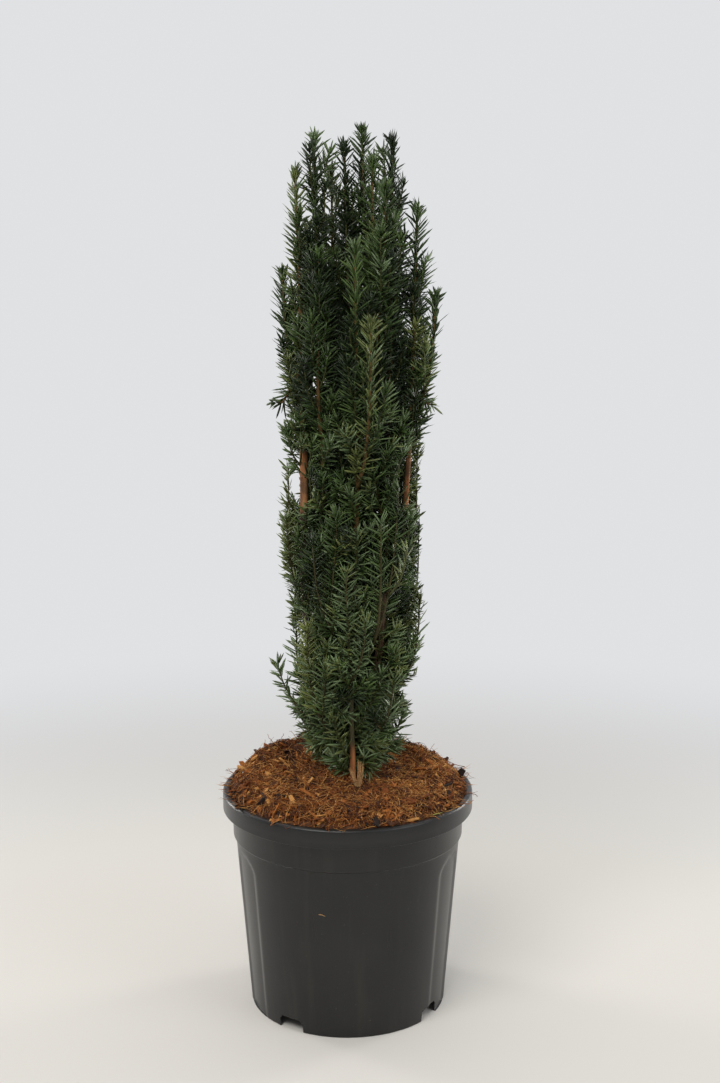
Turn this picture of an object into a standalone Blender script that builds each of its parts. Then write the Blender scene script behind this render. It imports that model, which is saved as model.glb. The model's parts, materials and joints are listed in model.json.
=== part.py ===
"""English yew of upright, columnar habit, about a metre tall, in a round nursery pot.

Sizes are in metres. The origin is the middle of the pot's underside, +X points to the
right, +Y to the back and +Z up. Every limb and every mass of foliage is a closed solid of
its own, 0.3 mm clear of what carries it.
"""

import math
import random

import bmesh
import bpy
import numpy as np
from mathutils import Vector

GAP = 0.0003

# Pot: a tapered body, a plain band above it and a turned-down rim
POT_SEGMENTS = 36
POT_HEIGHT = 0.276
POT_RIM_RADIUS = 0.155
POT_RIM_DEPTH = 0.023
POT_RIM_WIDTH = 0.0095
POT_RIM_ROUND = 0.0025
POT_BAND_RADIUS = 0.1425
POT_BAND_BOTTOM = 0.2175
POT_BODY_RADIUS = 0.1395
POT_FOOT_RADIUS = 0.122
POT_FOOT_WIDTH = 0.0040
POT_WALL = 0.0030
POT_FLOOR_UNDERSIDE = 0.012
POT_FLOOR_TOP = 0.015
NOTCH_AZIMUTHS = (-124, -34, 56, 146)
NOTCH_WIDTH = 0.034
NOTCH_HEIGHT = 0.0155
NOTCH_REACH = 0.030
FLUTE_AZIMUTHS = (-20, 2, 24, 156, 178, 200)
FLUTE_RADIUS = 0.017
FLUTE_DEPTH = 0.0016
FLUTE_BOTTOM = 0.022
FLUTE_TOP = 0.205

# Potting mix: fills the pot and is heaped a little above the rim
MIX_EDGE_BELOW_RIM = 0.006
MIX_HEAP = 0.020
MIX_BACK_RISE = 0.007
MIX_SHOULDER = 8
MIX_ROUGHNESS = 0.0018
MIX_RINGS = (0.030, 0.062, 0.092, 0.118, 0.136)

# Trunk and the thin second stem in front of it, cut flat where they enter the mix
GROUND = 0.2900
TRUNK_FOOT = Vector((0.004, 0.000, GROUND))
TRUNK_TIP = Vector((0.007, 0.003, 0.600))
TRUNK_RADII = (0.0128, 0.0056)
TRUNK_FLARE = 0.0045
TRUNK_FLARE_HEIGHT = 0.030
TRUNK_SIDES = 9
FRONT_STEM_FOOT = Vector((0.007, -0.047, GROUND))
FRONT_STEM_TIP = Vector((0.005, -0.054, 0.405))
FRONT_STEM_RADII = (0.0036, 0.0026)
SEAT_CLEARANCE = 0.0008

# Boughs: height and azimuth where each leaves the trunk, its tip, and its two radii
LIMB_SIDES = 6
BOUGH_LEAN = 38
BOUGHS = {
    "left": (0.350, 196, (-0.052, -0.012, 0.700), 0.0066, 0.0046),
    "front_left": (0.395, 226, (-0.028, -0.031, 0.650), 0.0052, 0.0036),
    "front": (0.372, 276, (0.011, -0.048, 0.600), 0.0048, 0.0034),
    "right_centre": (0.330, 318, (0.043, -0.030, 0.530), 0.0060, 0.0046),
    "right": (0.420, 350, (0.073, -0.014, 0.690), 0.0046, 0.0032),
    "centre_right": (0.470, 48, (0.025, 0.022, 0.660), 0.0046, 0.0034),
    "back_right": (0.360, 42, (0.052, 0.046, 0.650), 0.0054, 0.0036),
    "back": (0.410, 95, (-0.001, 0.060, 0.650), 0.0050, 0.0036),
    "back_left": (0.385, 142, (-0.045, 0.040, 0.650), 0.0054, 0.0036),
}

# Foliage that grows on from the tip of a limb: the tops of its leading shoots
TOP_MASSES = {
    "left": ((-0.060, -0.010, 1.032), (-0.075, 0.002, 0.916), (-0.083, -0.014, 0.772)),
    "front_left": ((-0.038, 0.002, 1.070), (-0.032, -0.040, 0.939)),
    "centre": ((-0.003, 0.022, 1.061), (-0.019, 0.042, 1.035)),
    "centre_right": ((0.018, 0.036, 1.078), (0.030, 0.010, 1.045)),
    "right_centre": ((0.053, 0.002, 1.067), (0.044, -0.032, 1.014)),
    "right": ((0.082, 0.000, 0.991), (0.104, -0.006, 0.890), (0.098, -0.018, 0.770)),
    "front": ((0.010, -0.060, 0.947), (0.028, -0.072, 0.862)),
    "back_right": ((0.057, 0.046, 0.990), (0.082, 0.036, 0.910)),
    "back": ((0.008, 0.072, 0.985), (-0.018, 0.078, 0.880)),
    "back_left": ((-0.046, 0.050, 0.975), (-0.070, 0.034, 0.870)),
    "front_stem": ((-0.001, -0.076, 0.575), (0.022, -0.072, 0.515)),
}

# Foliage on short shoots from the trunk: height and azimuth of its stem, then the shoot tops
SIDE_MASSES = {
    "mid_left": (0.470, 174, ((-0.071, -0.002, 0.686), (-0.072, -0.018, 0.628))),
    "mid_front_left": (0.440, 250, ((-0.012, -0.066, 0.640), (-0.040, -0.062, 0.610))),
    "mid_front_right": (0.420, 298, ((0.060, -0.052, 0.670), (0.040, -0.070, 0.635))),
    "mid_right": (0.500, 10, ((0.084, 0.008, 0.706), (0.078, -0.012, 0.625))),
    "mid_back_right": (0.408, 20, ((0.088, 0.032, 0.620), (0.074, 0.058, 0.665))),
    "mid_back": (0.455, 72, ((0.026, 0.074, 0.670), (0.042, 0.078, 0.590))),
    "mid_back_left": (0.470, 118, ((-0.036, 0.070, 0.670), (-0.020, 0.080, 0.590))),
    "mid_left_back": (0.438, 164, ((-0.064, 0.030, 0.640), (-0.060, 0.050, 0.580))),
    "low_left": (0.330, 206, ((-0.084, -0.012, 0.446), (-0.068, -0.026, 0.412))),
    "low_front_left": (0.322, 238, ((-0.026, -0.060, 0.455), (-0.048, -0.046, 0.500))),
    "low_front_right": (0.312, 312, ((0.056, -0.048, 0.440), (0.032, -0.062, 0.400))),
    "low_right": (0.360, 352, ((0.088, -0.008, 0.528), (0.082, -0.020, 0.440))),
    "low_back_right": (0.318, 28, ((0.064, 0.034, 0.460), (0.046, 0.056, 0.410))),
    "low_back": (0.330, 84, ((0.010, 0.066, 0.470), (0.026, 0.060, 0.400))),
    "low_back_left": (0.314, 130, ((-0.038, 0.052, 0.450), (-0.052, 0.032, 0.400))),
    "low_left_back": (0.340, 162, ((-0.064, 0.020, 0.500), (-0.058, 0.008, 0.390))),
    "foot_front": (0.302, 262, ((-0.004, -0.038, 0.352),)),
    "foot_right": (0.304, 336, ((0.066, -0.014, 0.385),)),
    "foot_back": (0.303, 58, ((0.028, 0.044, 0.358),)),
    "foot_left": (0.301, 168, ((-0.050, 0.008, 0.362),)),
}
SIDE_LEAN = 62
KNEE_OUT = 0.82
KNEE_RISE = 0.70
KNEE_LEAN = 28

# Crown outline: height, furthest reach to the left and to the right
CROWN_OUTLINE = (
    (0.290, -0.055, 0.060),
    (0.335, -0.068, 0.088),
    (0.400, -0.086, 0.088),
    (0.435, -0.097, 0.092),
    (0.476, -0.080, 0.100),
    (0.569, -0.086, 0.103),
    (0.683, -0.090, 0.106),
    (0.758, -0.094, 0.110),
    (0.875, -0.094, 0.119),
    (0.912, -0.093, 0.114),
    (0.987, -0.086, 0.106),
    (1.024, -0.082, 0.084),
    (1.067, -0.060, 0.074),
    (1.090, -0.040, 0.050),
)
CROWN_DEPTH_RATIO = 0.95

# Sprays: a slim three-sided stem with whorls of needles drawn out of its faces
WHORL_STEP = 0.020
STEM_RADIUS = 0.0030
STEM_TIP_RADIUS = 0.0016
BARE_FOOT = 0.016
NEEDLE_LENGTH = 0.026
NEEDLE_ANGLE = 53
NEEDLE_ANGLE_AT_TIP = 36
TIP_NEEDLE = 0.016
TIP_ZONE = 0.060
SHORTENED = (1.0, 0.82, 0.64)
NEEDLE_WIDTHS = ((0.35, 0.0026), (0.7, 0.0015), (1.0, 0.0))
SPINE_SAMPLE = 0.004
LIMB_CLEARANCE = 0.0016
MASS_CLEARANCE = 0.0013
SPINE_SPACING = 0.0100

# Side shoots that the leading shoots put out, one every so often round a golden angle
GOLDEN_ANGLE = 137.5
SHOOT_STEP = 0.085
SHOOT_OUT = 0.020
SHOOT_UP = 0.050
SHOOT_LEAN = 52
SHOOT_RADIUS = 0.0024
SHOOT_SIZES = (0.80, 1.15)
SHOOT_TRIES = 3

# Where the second and third leading shoots fork from the first, and how far they swing out
FORK_AT = 0.16
FORK_STEP = 0.12
FORK_SWING = 22
ERECT_LEAN = 3
SEED = 41


def clear_scene():
    for old in list(bpy.data.objects):
        bpy.data.objects.remove(old, do_unlink=True)


def material(name, colour, roughness, metallic=0.0):
    made = bpy.data.materials.new(name)
    made.use_nodes = True
    shader = made.node_tree.nodes["Principled BSDF"]
    shader.inputs["Base Color"].default_value = (*colour, 1.0)
    shader.inputs["Roughness"].default_value = roughness
    shader.inputs["Metallic"].default_value = metallic
    return made


def add_object(name, bm, look, smooth_angle=None):
    """Turn a bmesh into a named object; round pieces are shaded smooth."""
    bmesh.ops.recalc_face_normals(bm, faces=bm.faces)
    mesh = bpy.data.meshes.new(name)
    bm.to_mesh(mesh)
    bm.free()
    if smooth_angle is not None:
        mesh.shade_smooth()
        mesh.set_sharp_from_angle(angle=math.radians(smooth_angle))
    mesh.materials.append(look)
    made = bpy.data.objects.new(name, mesh)
    bpy.context.scene.collection.objects.link(made)
    return made


def heading(azimuth, lean):
    """Direction at an azimuth from +X, leaning so many degrees from the vertical."""
    side = math.sin(math.radians(lean))
    turn = math.radians(azimuth)
    return Vector((side * math.cos(turn), side * math.sin(turn), math.cos(math.radians(lean))))


def curve(start, end, leave, arrive, spacing):
    """Points about one spacing apart on a smooth curve that leaves and arrives as told."""
    reach = (end - start).length
    count = max(2, round(reach / spacing))
    points = []
    for step in range(count + 1):
        t = step / count
        points.append(
            start * (2 * t**3 - 3 * t**2 + 1)
            + leave * reach * (t**3 - 2 * t**2 + t)
            + end * (3 * t**2 - 2 * t**3)
            + arrive * reach * (t**3 - t**2)
        )
    return points


def path_length(path):
    return sum((high - low).length for low, high in zip(path, path[1:]))


def directions(path):
    """Unit direction of a path at each of its points."""
    found = []
    for index in range(len(path)):
        before = path[max(index - 1, 0)]
        after = path[min(index + 1, len(path) - 1)]
        found.append((after - before).normalized())
    return found


def side_axes(direction):
    """Two unit vectors square to a direction that is never level along Y."""
    across = Vector((0.0, 1.0, 0.0)).cross(direction).normalized()
    return across, direction.cross(across)


def ring_points(centre, direction, radius, sides, turn=0.0):
    across, up = side_axes(direction)
    points = []
    for side in range(sides):
        angle = turn + 2.0 * math.pi * side / sides
        points.append(centre + (across * math.cos(angle) + up * math.sin(angle)) * radius)
    return points


def limb_mesh(path, ways, radii, sides):
    """A tapering tube with flat ends."""
    bm = bmesh.new()
    rings = []
    for centre, way, radius in zip(path, ways, radii):
        rings.append([bm.verts.new(point) for point in ring_points(centre, way, radius, sides)])
    for lower, upper in zip(rings, rings[1:]):
        for side in range(sides):
            after = (side + 1) % sides
            bm.faces.new((lower[side], lower[after], upper[after], upper[side]))
    bm.faces.new(reversed(rings[0]))
    bm.faces.new(rings[-1])
    return bm


def turned(profile, segments):
    """A closed profile of (radius, height) pairs turned about Z, its ends on the axis."""
    bm = bmesh.new()
    corners = [bm.verts.new((radius, 0.0, height)) for radius, height in profile]
    edges = [bm.edges.new(pair) for pair in zip(corners, corners[1:])]
    bmesh.ops.spin(
        bm, geom=corners + edges, cent=(0, 0, 0), axis=(0, 0, 1),
        angle=2.0 * math.pi, steps=segments, use_merge=True,
    )
    bmesh.ops.remove_doubles(bm, verts=bm.verts, dist=0.00001)
    return bm


def box(length, width, height):
    bm = bmesh.new()
    bmesh.ops.create_cube(bm, size=1.0)
    bmesh.ops.scale(bm, verts=bm.verts, vec=(length, width, height))
    return bm


def boolean(target, operation, others, solver="EXACT"):
    """Apply one Boolean with a collection of objects, then remove those objects."""
    group = bpy.data.collections.new(target.name + "_others")
    bpy.context.scene.collection.children.link(group)
    for other in others:
        bpy.context.scene.collection.objects.unlink(other)
        group.objects.link(other)
    step = target.modifiers.new("Join", "BOOLEAN")
    step.operation = operation
    step.operand_type = "COLLECTION"
    step.collection = group
    step.solver = solver
    evaluated = target.evaluated_get(bpy.context.evaluated_depsgraph_get())
    joined = bpy.data.meshes.new_from_object(evaluated)
    target.modifiers.clear()
    target.data = joined
    for other in others:
        bpy.data.objects.remove(other, do_unlink=True)
    bpy.data.collections.remove(group)


def keep_outer_shell(target):
    """Drop loose scraps and fill any hollow that the joining sealed."""
    bm = bmesh.new()
    bm.from_mesh(target.data)
    bmesh.ops.triangulate(bm, faces=bm.faces)
    bmesh.ops.remove_doubles(bm, verts=bm.verts, dist=0.000002)
    bmesh.ops.dissolve_degenerate(bm, dist=0.000002, edges=bm.edges)
    bmesh.ops.triangulate(bm, faces=bm.faces)
    left = set(bm.faces)
    shells = []
    while left:
        shell = [left.pop()]
        for face in shell:
            for edge in face.edges:
                for other in edge.link_faces:
                    if other in left:
                        left.discard(other)
                        shell.append(other)
        shells.append(shell)
    shells.sort(key=len)
    for shell in shells[:-1]:
        bmesh.ops.delete(bm, geom=shell, context="FACES")
    bm.to_mesh(target.data)
    bm.free()


def body_radius(height):
    """Outer radius of the pot's tapered body."""
    share = height / POT_BAND_BOTTOM
    return POT_FOOT_RADIUS + (POT_BODY_RADIUS - POT_FOOT_RADIUS) * share


def pot_inner_wall():
    """Radius and height of the pot's inner wall, from its floor up to its rim."""
    band_inner = POT_BAND_RADIUS - POT_WALL
    rim_inner = POT_RIM_RADIUS - POT_RIM_WIDTH
    return [
        (body_radius(POT_FLOOR_TOP) - POT_WALL, POT_FLOOR_TOP),
        (POT_BODY_RADIUS - POT_WALL, POT_BAND_BOTTOM),
        (band_inner, POT_BAND_BOTTOM + POT_WALL),
        (band_inner + 0.001, POT_HEIGHT - POT_RIM_DEPTH),
        (rim_inner, POT_HEIGHT - POT_RIM_DEPTH + POT_RIM_WIDTH),
    ]


def make_pot(look):
    rim_bottom = POT_HEIGHT - POT_RIM_DEPTH
    rim_inner = POT_RIM_RADIUS - POT_RIM_WIDTH
    skirt_inner = POT_RIM_RADIUS - POT_WALL + 0.0005
    wall_top = POT_HEIGHT - 0.0045
    inner_foot = POT_FOOT_RADIUS - POT_FOOT_WIDTH
    profile = [
        (0.0, POT_FLOOR_UNDERSIDE),
        (inner_foot - 0.0005, POT_FLOOR_UNDERSIDE),
        (inner_foot, 0.0),
        (POT_FOOT_RADIUS, 0.0),
        (POT_BODY_RADIUS, POT_BAND_BOTTOM),
        (POT_BAND_RADIUS, POT_BAND_BOTTOM + 0.002),
        (POT_BAND_RADIUS + 0.001, rim_bottom),
        (rim_inner + POT_WALL, wall_top),
        (skirt_inner, wall_top),
        (skirt_inner, rim_bottom),
        (POT_RIM_RADIUS, rim_bottom + 0.0005),
        (POT_RIM_RADIUS, POT_HEIGHT - POT_RIM_ROUND),
        (POT_RIM_RADIUS - 0.3 * POT_RIM_ROUND, POT_HEIGHT - 0.3 * POT_RIM_ROUND),
        (POT_RIM_RADIUS - POT_RIM_ROUND, POT_HEIGHT),
        (rim_inner + POT_RIM_ROUND, POT_HEIGHT),
        (rim_inner, POT_HEIGHT - POT_RIM_ROUND),
    ]
    profile += reversed(pot_inner_wall())
    profile.append((0.0, POT_FLOOR_TOP))
    pot = add_object("pot", turned(profile, POT_SEGMENTS), look)
    cutters = []
    for azimuth in NOTCH_AZIMUTHS:
        cutter = add_object("notch", box(NOTCH_REACH, NOTCH_WIDTH, 2.0 * NOTCH_HEIGHT), look)
        way = heading(azimuth, 90)
        cutter.location = way * POT_FOOT_RADIUS
        cutter.rotation_euler.z = math.radians(azimuth)
        cutters.append(cutter)
    for azimuth in FLUTE_AZIMUTHS:
        path = []
        for height in (FLUTE_BOTTOM, FLUTE_TOP):
            out = body_radius(height) + FLUTE_RADIUS - FLUTE_DEPTH
            path.append(heading(azimuth, 90) * out + Vector((0, 0, height)))
        bar = limb_mesh(path, directions(path), (FLUTE_RADIUS, FLUTE_RADIUS), 16)
        cutters.append(add_object("flute", bar, look))
    boolean(pot, "DIFFERENCE", cutters)
    return pot


def mix_height(x, y):
    """Height of the potting mix: a low uneven heap, a little higher towards the back left."""
    reach = POT_RIM_RADIUS - POT_RIM_WIDTH
    share = min(math.hypot(x, y) / reach, 1.0)
    back = max(y - 0.4 * x, 0.0) / reach
    heap = (MIX_HEAP + MIX_BACK_RISE * back) * (1.0 - share**MIX_SHOULDER)
    ripple = math.sin(61 * x + 1.3) * math.cos(53 * y - 0.4) + 0.6 * math.sin(117 * y + 83 * x)
    return POT_HEIGHT - MIX_EDGE_BELOW_RIM + heap + MIX_ROUGHNESS * ripple * (1.0 - share)


def make_mix(look):
    outer = [(radius - 0.0004, height + GAP) for radius, height in pot_inner_wall()]
    edge_height = POT_HEIGHT - MIX_EDGE_BELOW_RIM
    outer.append((outer[-1][0], edge_height))
    crown_rings = [(radius, edge_height) for radius in reversed(MIX_RINGS)]
    profile = [(0.0, outer[0][1])] + outer + crown_rings + [(0.0, edge_height)]
    bm = turned(profile, POT_SEGMENTS)
    for vert in bm.verts:
        if vert.co.z > edge_height - 0.0001:
            vert.co.z = mix_height(vert.co.x, vert.co.y)
    mix = add_object("potting_mix", bm, look)
    seats = []
    for foot, radius in (
        (TRUNK_FOOT, TRUNK_RADII[0] + TRUNK_FLARE),
        (FRONT_STEM_FOOT, FRONT_STEM_RADII[0]),
    ):
        path = [foot - Vector((0, 0, GAP)), foot + Vector((0, 0, 0.05))]
        seat_radius = radius + SEAT_CLEARANCE
        hole = limb_mesh(path, directions(path), (seat_radius, seat_radius), 12)
        seats.append(add_object("seat", hole, look))
    boolean(mix, "DIFFERENCE", seats)
    return mix


class Limb:
    """A trunk, stem or bough: its centre line, its directions and its radii."""

    def __init__(self, path, radii, flare=0.0):
        self.path = path
        self.ways = directions(path)
        self.radii = []
        for index, point in enumerate(path):
            share = index / (len(path) - 1)
            radius = radii[0] + (radii[1] - radii[0]) * share
            above = (point.z - path[0].z) / TRUNK_FLARE_HEIGHT
            self.radii.append(radius + flare * max(1.0 - above, 0.0) ** 2)

    def at_height(self, height):
        for low, high in zip(self.path, self.path[1:]):
            if low.z <= height <= high.z:
                return low.lerp(high, (height - low.z) / (high.z - low.z))
        return self.path[-1].copy()


def plan_trunk():
    upright = Vector((0, 0, 1))
    path = curve(TRUNK_FOOT, TRUNK_TIP, heading(150, 6), upright, 0.035)
    path.insert(1, path[0].lerp(path[1], 0.4))
    trunk = Limb(path, TRUNK_RADII, TRUNK_FLARE)
    trunk.ways[0] = upright
    return trunk


def plan_front_stem():
    upright = Vector((0, 0, 1))
    path = curve(FRONT_STEM_FOOT, FRONT_STEM_TIP, upright, heading(270, 3), 0.03)
    stem = Limb(path, FRONT_STEM_RADII)
    stem.ways[0] = upright
    return stem


def plan_bough(trunk, height, azimuth, tip, foot_radius, tip_radius):
    start = trunk.at_height(height)
    end = Vector(tip)
    path = curve(start, end, heading(azimuth, BOUGH_LEAN), heading(azimuth, 2), 0.055)
    return Limb(path, (foot_radius, tip_radius))


def add_limb(name, limb, sides, look, cut_by=None):
    made = add_object(name, limb_mesh(limb.path, limb.ways, limb.radii, sides), look, 50)
    if cut_by is not None:
        boolean(made, "DIFFERENCE", [grown_copy(cut_by, look)])
        keep_outer_shell(made)
    return made


def grown_copy(limb, look):
    """The trunk grown by the gap, which cuts the foot of what it carries."""
    radii = [radius + GAP * 1.1 for radius in limb.radii]
    return add_object("grown", limb_mesh(limb.path, limb.ways, radii, TRUNK_SIDES), look)


class Space:
    """Where every limb and shoot runs, so that each mass keeps to its own share of the crown."""

    def __init__(self):
        self.points = np.zeros((0, 3))
        self.radii = np.zeros(0)
        self.owners = np.zeros(0, dtype=int)
        self.shoots = np.zeros(0, dtype=int)

    def add(self, path, radius, owner, shoot):
        fine = []
        for low, high in zip(path, path[1:]):
            count = max(1, math.ceil((high - low).length / SPINE_SAMPLE))
            fine += [low.lerp(high, part / count) for part in range(count)]
        fine.append(path[-1])
        self.points = np.vstack((self.points, np.array([tuple(point) for point in fine])))
        self.radii = np.append(self.radii, np.full(len(fine), radius))
        self.owners = np.append(self.owners, np.full(len(fine), owner))
        self.shoots = np.append(self.shoots, np.full(len(fine), shoot))

    def distances(self, point):
        return np.linalg.norm(self.points - np.array(tuple(point)), axis=1)


LIMB_OWNER = -1


def crown_reach(height):
    """Left and right reach of the crown at a height."""
    heights = [row[0] for row in CROWN_OUTLINE]
    left = np.interp(height, heights, [row[1] for row in CROWN_OUTLINE])
    right = np.interp(height, heights, [row[2] for row in CROWN_OUTLINE])
    return left, right


def inside_crown(point):
    if point.z > CROWN_OUTLINE[-1][0] or point.z < mix_height(point.x, point.y) + 0.003:
        return False
    left, right = crown_reach(point.z)
    half = (right - left) / 2
    across = (point.x - (left + right) / 2) / half
    deep = point.y / (half * CROWN_DEPTH_RATIO)
    return math.hypot(across, deep) <= 1.0


class Shoot:
    """One leafy shoot of a mass."""

    def __init__(self, path, radius, foot_bare):
        self.path = path
        self.radius = radius
        self.foot_bare = foot_bare
        self.bud = path[-1] + directions(path)[-1] * TIP_NEEDLE


class Mass:
    """A mass of foliage: its shoots all branch from one stem."""

    def __init__(self, name, number, start, leave, tops, radius, root_inside):
        self.name = name
        self.number = number
        self.root_inside = root_inside
        self.first_fork = 1
        self.shoots = []
        first = self.leader(start, leave, tops[0], radius)
        self.shoots.append(first)
        for order, top in enumerate(tops[1:]):
            fork = round(len(first.path) * (FORK_AT + FORK_STEP * order))
            fork = min(max(fork, self.first_fork), len(first.path) - 3)
            knee = first.path[fork]
            out = Vector(top) - knee
            away = math.degrees(math.atan2(out.y, out.x))
            lean = math.degrees(math.atan2(math.hypot(out.x, out.y), out.z)) + FORK_SWING
            self.shoots.append(self.leader(knee, heading(away, lean), top, STEM_RADIUS, 0.0))

    def leader(self, start, leave, top, radius, bare=BARE_FOOT):
        end = Vector(top) - Vector((0, 0, TIP_NEEDLE))
        out = end - start
        azimuth = math.degrees(math.atan2(out.y, out.x))
        arrive = heading(azimuth, ERECT_LEAN)
        if not self.root_inside or self.shoots:
            return Shoot(curve(start, end, leave, arrive, WHORL_STEP), radius, bare)
        level = math.hypot(out.x, out.y)
        foot_azimuth = math.degrees(math.atan2(leave.y, leave.x))
        knee = start + heading(foot_azimuth, 90) * KNEE_OUT * level
        knee.z += min(KNEE_RISE * level, 0.6 * out.z)
        turn = heading(azimuth, KNEE_LEAN)
        path = curve(start, knee, leave, turn, WHORL_STEP)
        self.first_fork = len(path) - 1
        path += curve(knee, end, turn, arrive, WHORL_STEP)[1:]
        return Shoot(path, radius, bare)

    def register(self, space):
        for order, shoot in enumerate(self.shoots):
            space.add(shoot.path + [shoot.bud], shoot.radius, self.number, order)

    def add_side_shoots(self, space, chance):
        """Short erect shoots round each leader, left out where there is no room for them."""
        turn = chance.uniform(0, 360)
        for leader in list(self.shoots):
            due = SHOOT_STEP * chance.uniform(0.5, 0.9)
            travelled = 0.0
            total = path_length(leader.path)
            for low, high in zip(leader.path, leader.path[1:]):
                travelled += (high - low).length
                if travelled < due or travelled > total - SHOOT_UP - TIP_NEEDLE:
                    continue
                due = travelled + SHOOT_STEP
                for _ in range(SHOOT_TRIES):
                    turn += GOLDEN_ANGLE
                    shoot = self.side_shoot(low, turn, chance.uniform(*SHOOT_SIZES))
                    if self.has_room(shoot, space):
                        reach = shoot.path[1:] + [shoot.bud]
                        space.add(reach, SHOOT_RADIUS, self.number, len(self.shoots))
                        self.shoots.append(shoot)
                        break

    def side_shoot(self, foot, azimuth, size):
        end = foot + heading(azimuth, 90) * SHOOT_OUT * size + Vector((0, 0, SHOOT_UP * size))
        leave = heading(azimuth, SHOOT_LEAN)
        path = curve(foot, end, leave, heading(azimuth, 2 * ERECT_LEAN), WHORL_STEP)
        return Shoot(path, SHOOT_RADIUS, 0.0)

    def has_room(self, shoot, space):
        for point in shoot.path[1:] + [shoot.bud]:
            if not inside_crown(point):
                return False
            away = space.distances(point) - space.radii
            others = space.owners != self.number
            if away[others].min() < SPINE_SPACING:
                return False
        tip = shoot.path[-1]
        own = space.owners == self.number
        return space.distances(tip)[own].min() > 0.8 * SHOOT_OUT


def needle_fits(space, owner, order, base, tip):
    """Whether a needle stays inside the crown, nearest its own shoot and clear of limbs."""
    if not inside_crown(tip):
        return False
    for share, half_width in NEEDLE_WIDTHS:
        point = base.lerp(tip, share)
        reach = space.distances(point)
        limbs = space.owners == LIMB_OWNER
        if (reach[limbs] - space.radii[limbs]).min() < LIMB_CLEARANCE + half_width:
            return False
        mine = (space.owners == owner) & (space.shoots == order)
        own = reach[mine].min()
        foreign = (space.owners != owner) & ~limbs
        if reach[foreign].min() < own + 2 * half_width + MASS_CLEARANCE:
            return False
        sisters = (space.owners == owner) & (space.shoots != order)
        if share > 0.5 and sisters.any() and reach[sisters].min() < own:
            return False
    return True


def shoot_mesh(shoot, owner, order, space, chance):
    """A closed shoot: rings of three points, with a needle drawn out of most of its faces."""
    bm = bmesh.new()
    ways = directions(shoot.path)
    last = len(shoot.path) - 1
    spin = chance.uniform(0, 2 * math.pi)
    rings = []
    for index, (centre, way) in enumerate(zip(shoot.path, ways)):
        radius = shoot.radius + (STEM_TIP_RADIUS - shoot.radius) * index / last
        turn = spin + index * math.pi / 3
        rings.append([bm.verts.new(point) for point in ring_points(centre, way, radius, 3, turn)])
    lengths = [0.0]
    for low, high in zip(shoot.path, shoot.path[1:]):
        lengths.append(lengths[-1] + (high - low).length)
    bm.faces.new(reversed(rings[0]))
    for index in range(last):
        lower, upper = rings[index], rings[index + 1]
        middle = shoot.path[index].lerp(shoot.path[index + 1], 0.5)
        way = ways[index]
        run = (lengths[index] + lengths[index + 1]) / 2
        left = lengths[-1] - run
        near_tip = max(1.0 - left / TIP_ZONE, 0.0)
        angle = NEEDLE_ANGLE + (NEEDLE_ANGLE_AT_TIP - NEEDLE_ANGLE) * near_tip
        for side in range(3):
            after = (side + 1) % 3
            for corners in (
                (lower[side], lower[after], upper[side]),
                (lower[after], upper[after], upper[side]),
            ):
                base = sum((corner.co for corner in corners), Vector()) / 3
                out = base - middle
                out = (out - way * out.dot(way)).normalized()
                size = NEEDLE_LENGTH * chance.uniform(0.9, 1.1) * (1.0 - 0.25 * near_tip)
                lean = math.radians(angle)
                needle = out * math.sin(lean) + way * math.cos(lean)
                tip = None
                if run > shoot.foot_bare:
                    for short in SHORTENED:
                        point = base + needle * size * short
                        if needle_fits(space, owner, order, base, point):
                            tip = point
                            break
                if tip is None:
                    bm.faces.new(corners)
                    continue
                apex = bm.verts.new(tip)
                for first, second in zip(corners, corners[1:] + corners[:1]):
                    bm.faces.new((first, second, apex))
    bud = bm.verts.new(shoot.bud)
    top = rings[-1]
    for side in range(3):
        bm.faces.new((top[side], top[(side + 1) % 3], bud))
    return bm


def is_closed(mesh):
    """Whether every edge of a mesh joins exactly two faces."""
    bm = bmesh.new()
    bm.from_mesh(mesh)
    closed = all(len(edge.link_faces) == 2 for edge in bm.edges)
    bm.free()
    return closed


def join_mass(mass, space, look, trunk, chance, solver):
    shoots = []
    for order, shoot in enumerate(mass.shoots):
        bm = shoot_mesh(shoot, mass.number, order, space, chance)
        shoots.append(add_object(mass.name + "_shoot", bm, look))
    stem = shoots[0]
    if len(shoots) > 1:
        boolean(stem, "UNION", shoots[1:], solver)
    if mass.root_inside:
        boolean(stem, "DIFFERENCE", [grown_copy(trunk, look)], solver)
    keep_outer_shell(stem)
    return stem


def make_mass(mass, space, look, trunk):
    """Join a mass; where one solver leaves a fault in it, another one joins it."""
    for attempt, solver in enumerate(("EXACT", "MANIFOLD", "EXACT")):
        chance = random.Random(SEED + mass.number + 100 * attempt)
        stem = join_mass(mass, space, look, trunk, chance, solver)
        if is_closed(stem.data):
            break
        bpy.data.objects.remove(stem, do_unlink=True)
    stem.name = mass.name
    stem.data.name = mass.name
    return stem


def plan_masses(trunk, front_stem, boughs):
    """Every mass with its leading shoots, on the tip of a limb or on the trunk's side."""
    carriers = dict(boughs)
    carriers["centre"] = trunk
    carriers["front_stem"] = front_stem
    masses = []
    for name, tops in TOP_MASSES.items():
        carrier = carriers[name]
        way = carrier.ways[-1]
        start = carrier.path[-1] + way * GAP
        radius = carrier.radii[-1] * 0.96
        masses.append(Mass("foliage_" + name, len(masses), start, way, tops, radius, False))
    for name, (height, azimuth, tops) in SIDE_MASSES.items():
        start = trunk.at_height(height)
        leave = heading(azimuth, SIDE_LEAN)
        masses.append(
            Mass("foliage_" + name, len(masses), start, leave, tops, STEM_RADIUS, True)
        )
    return masses


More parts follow.
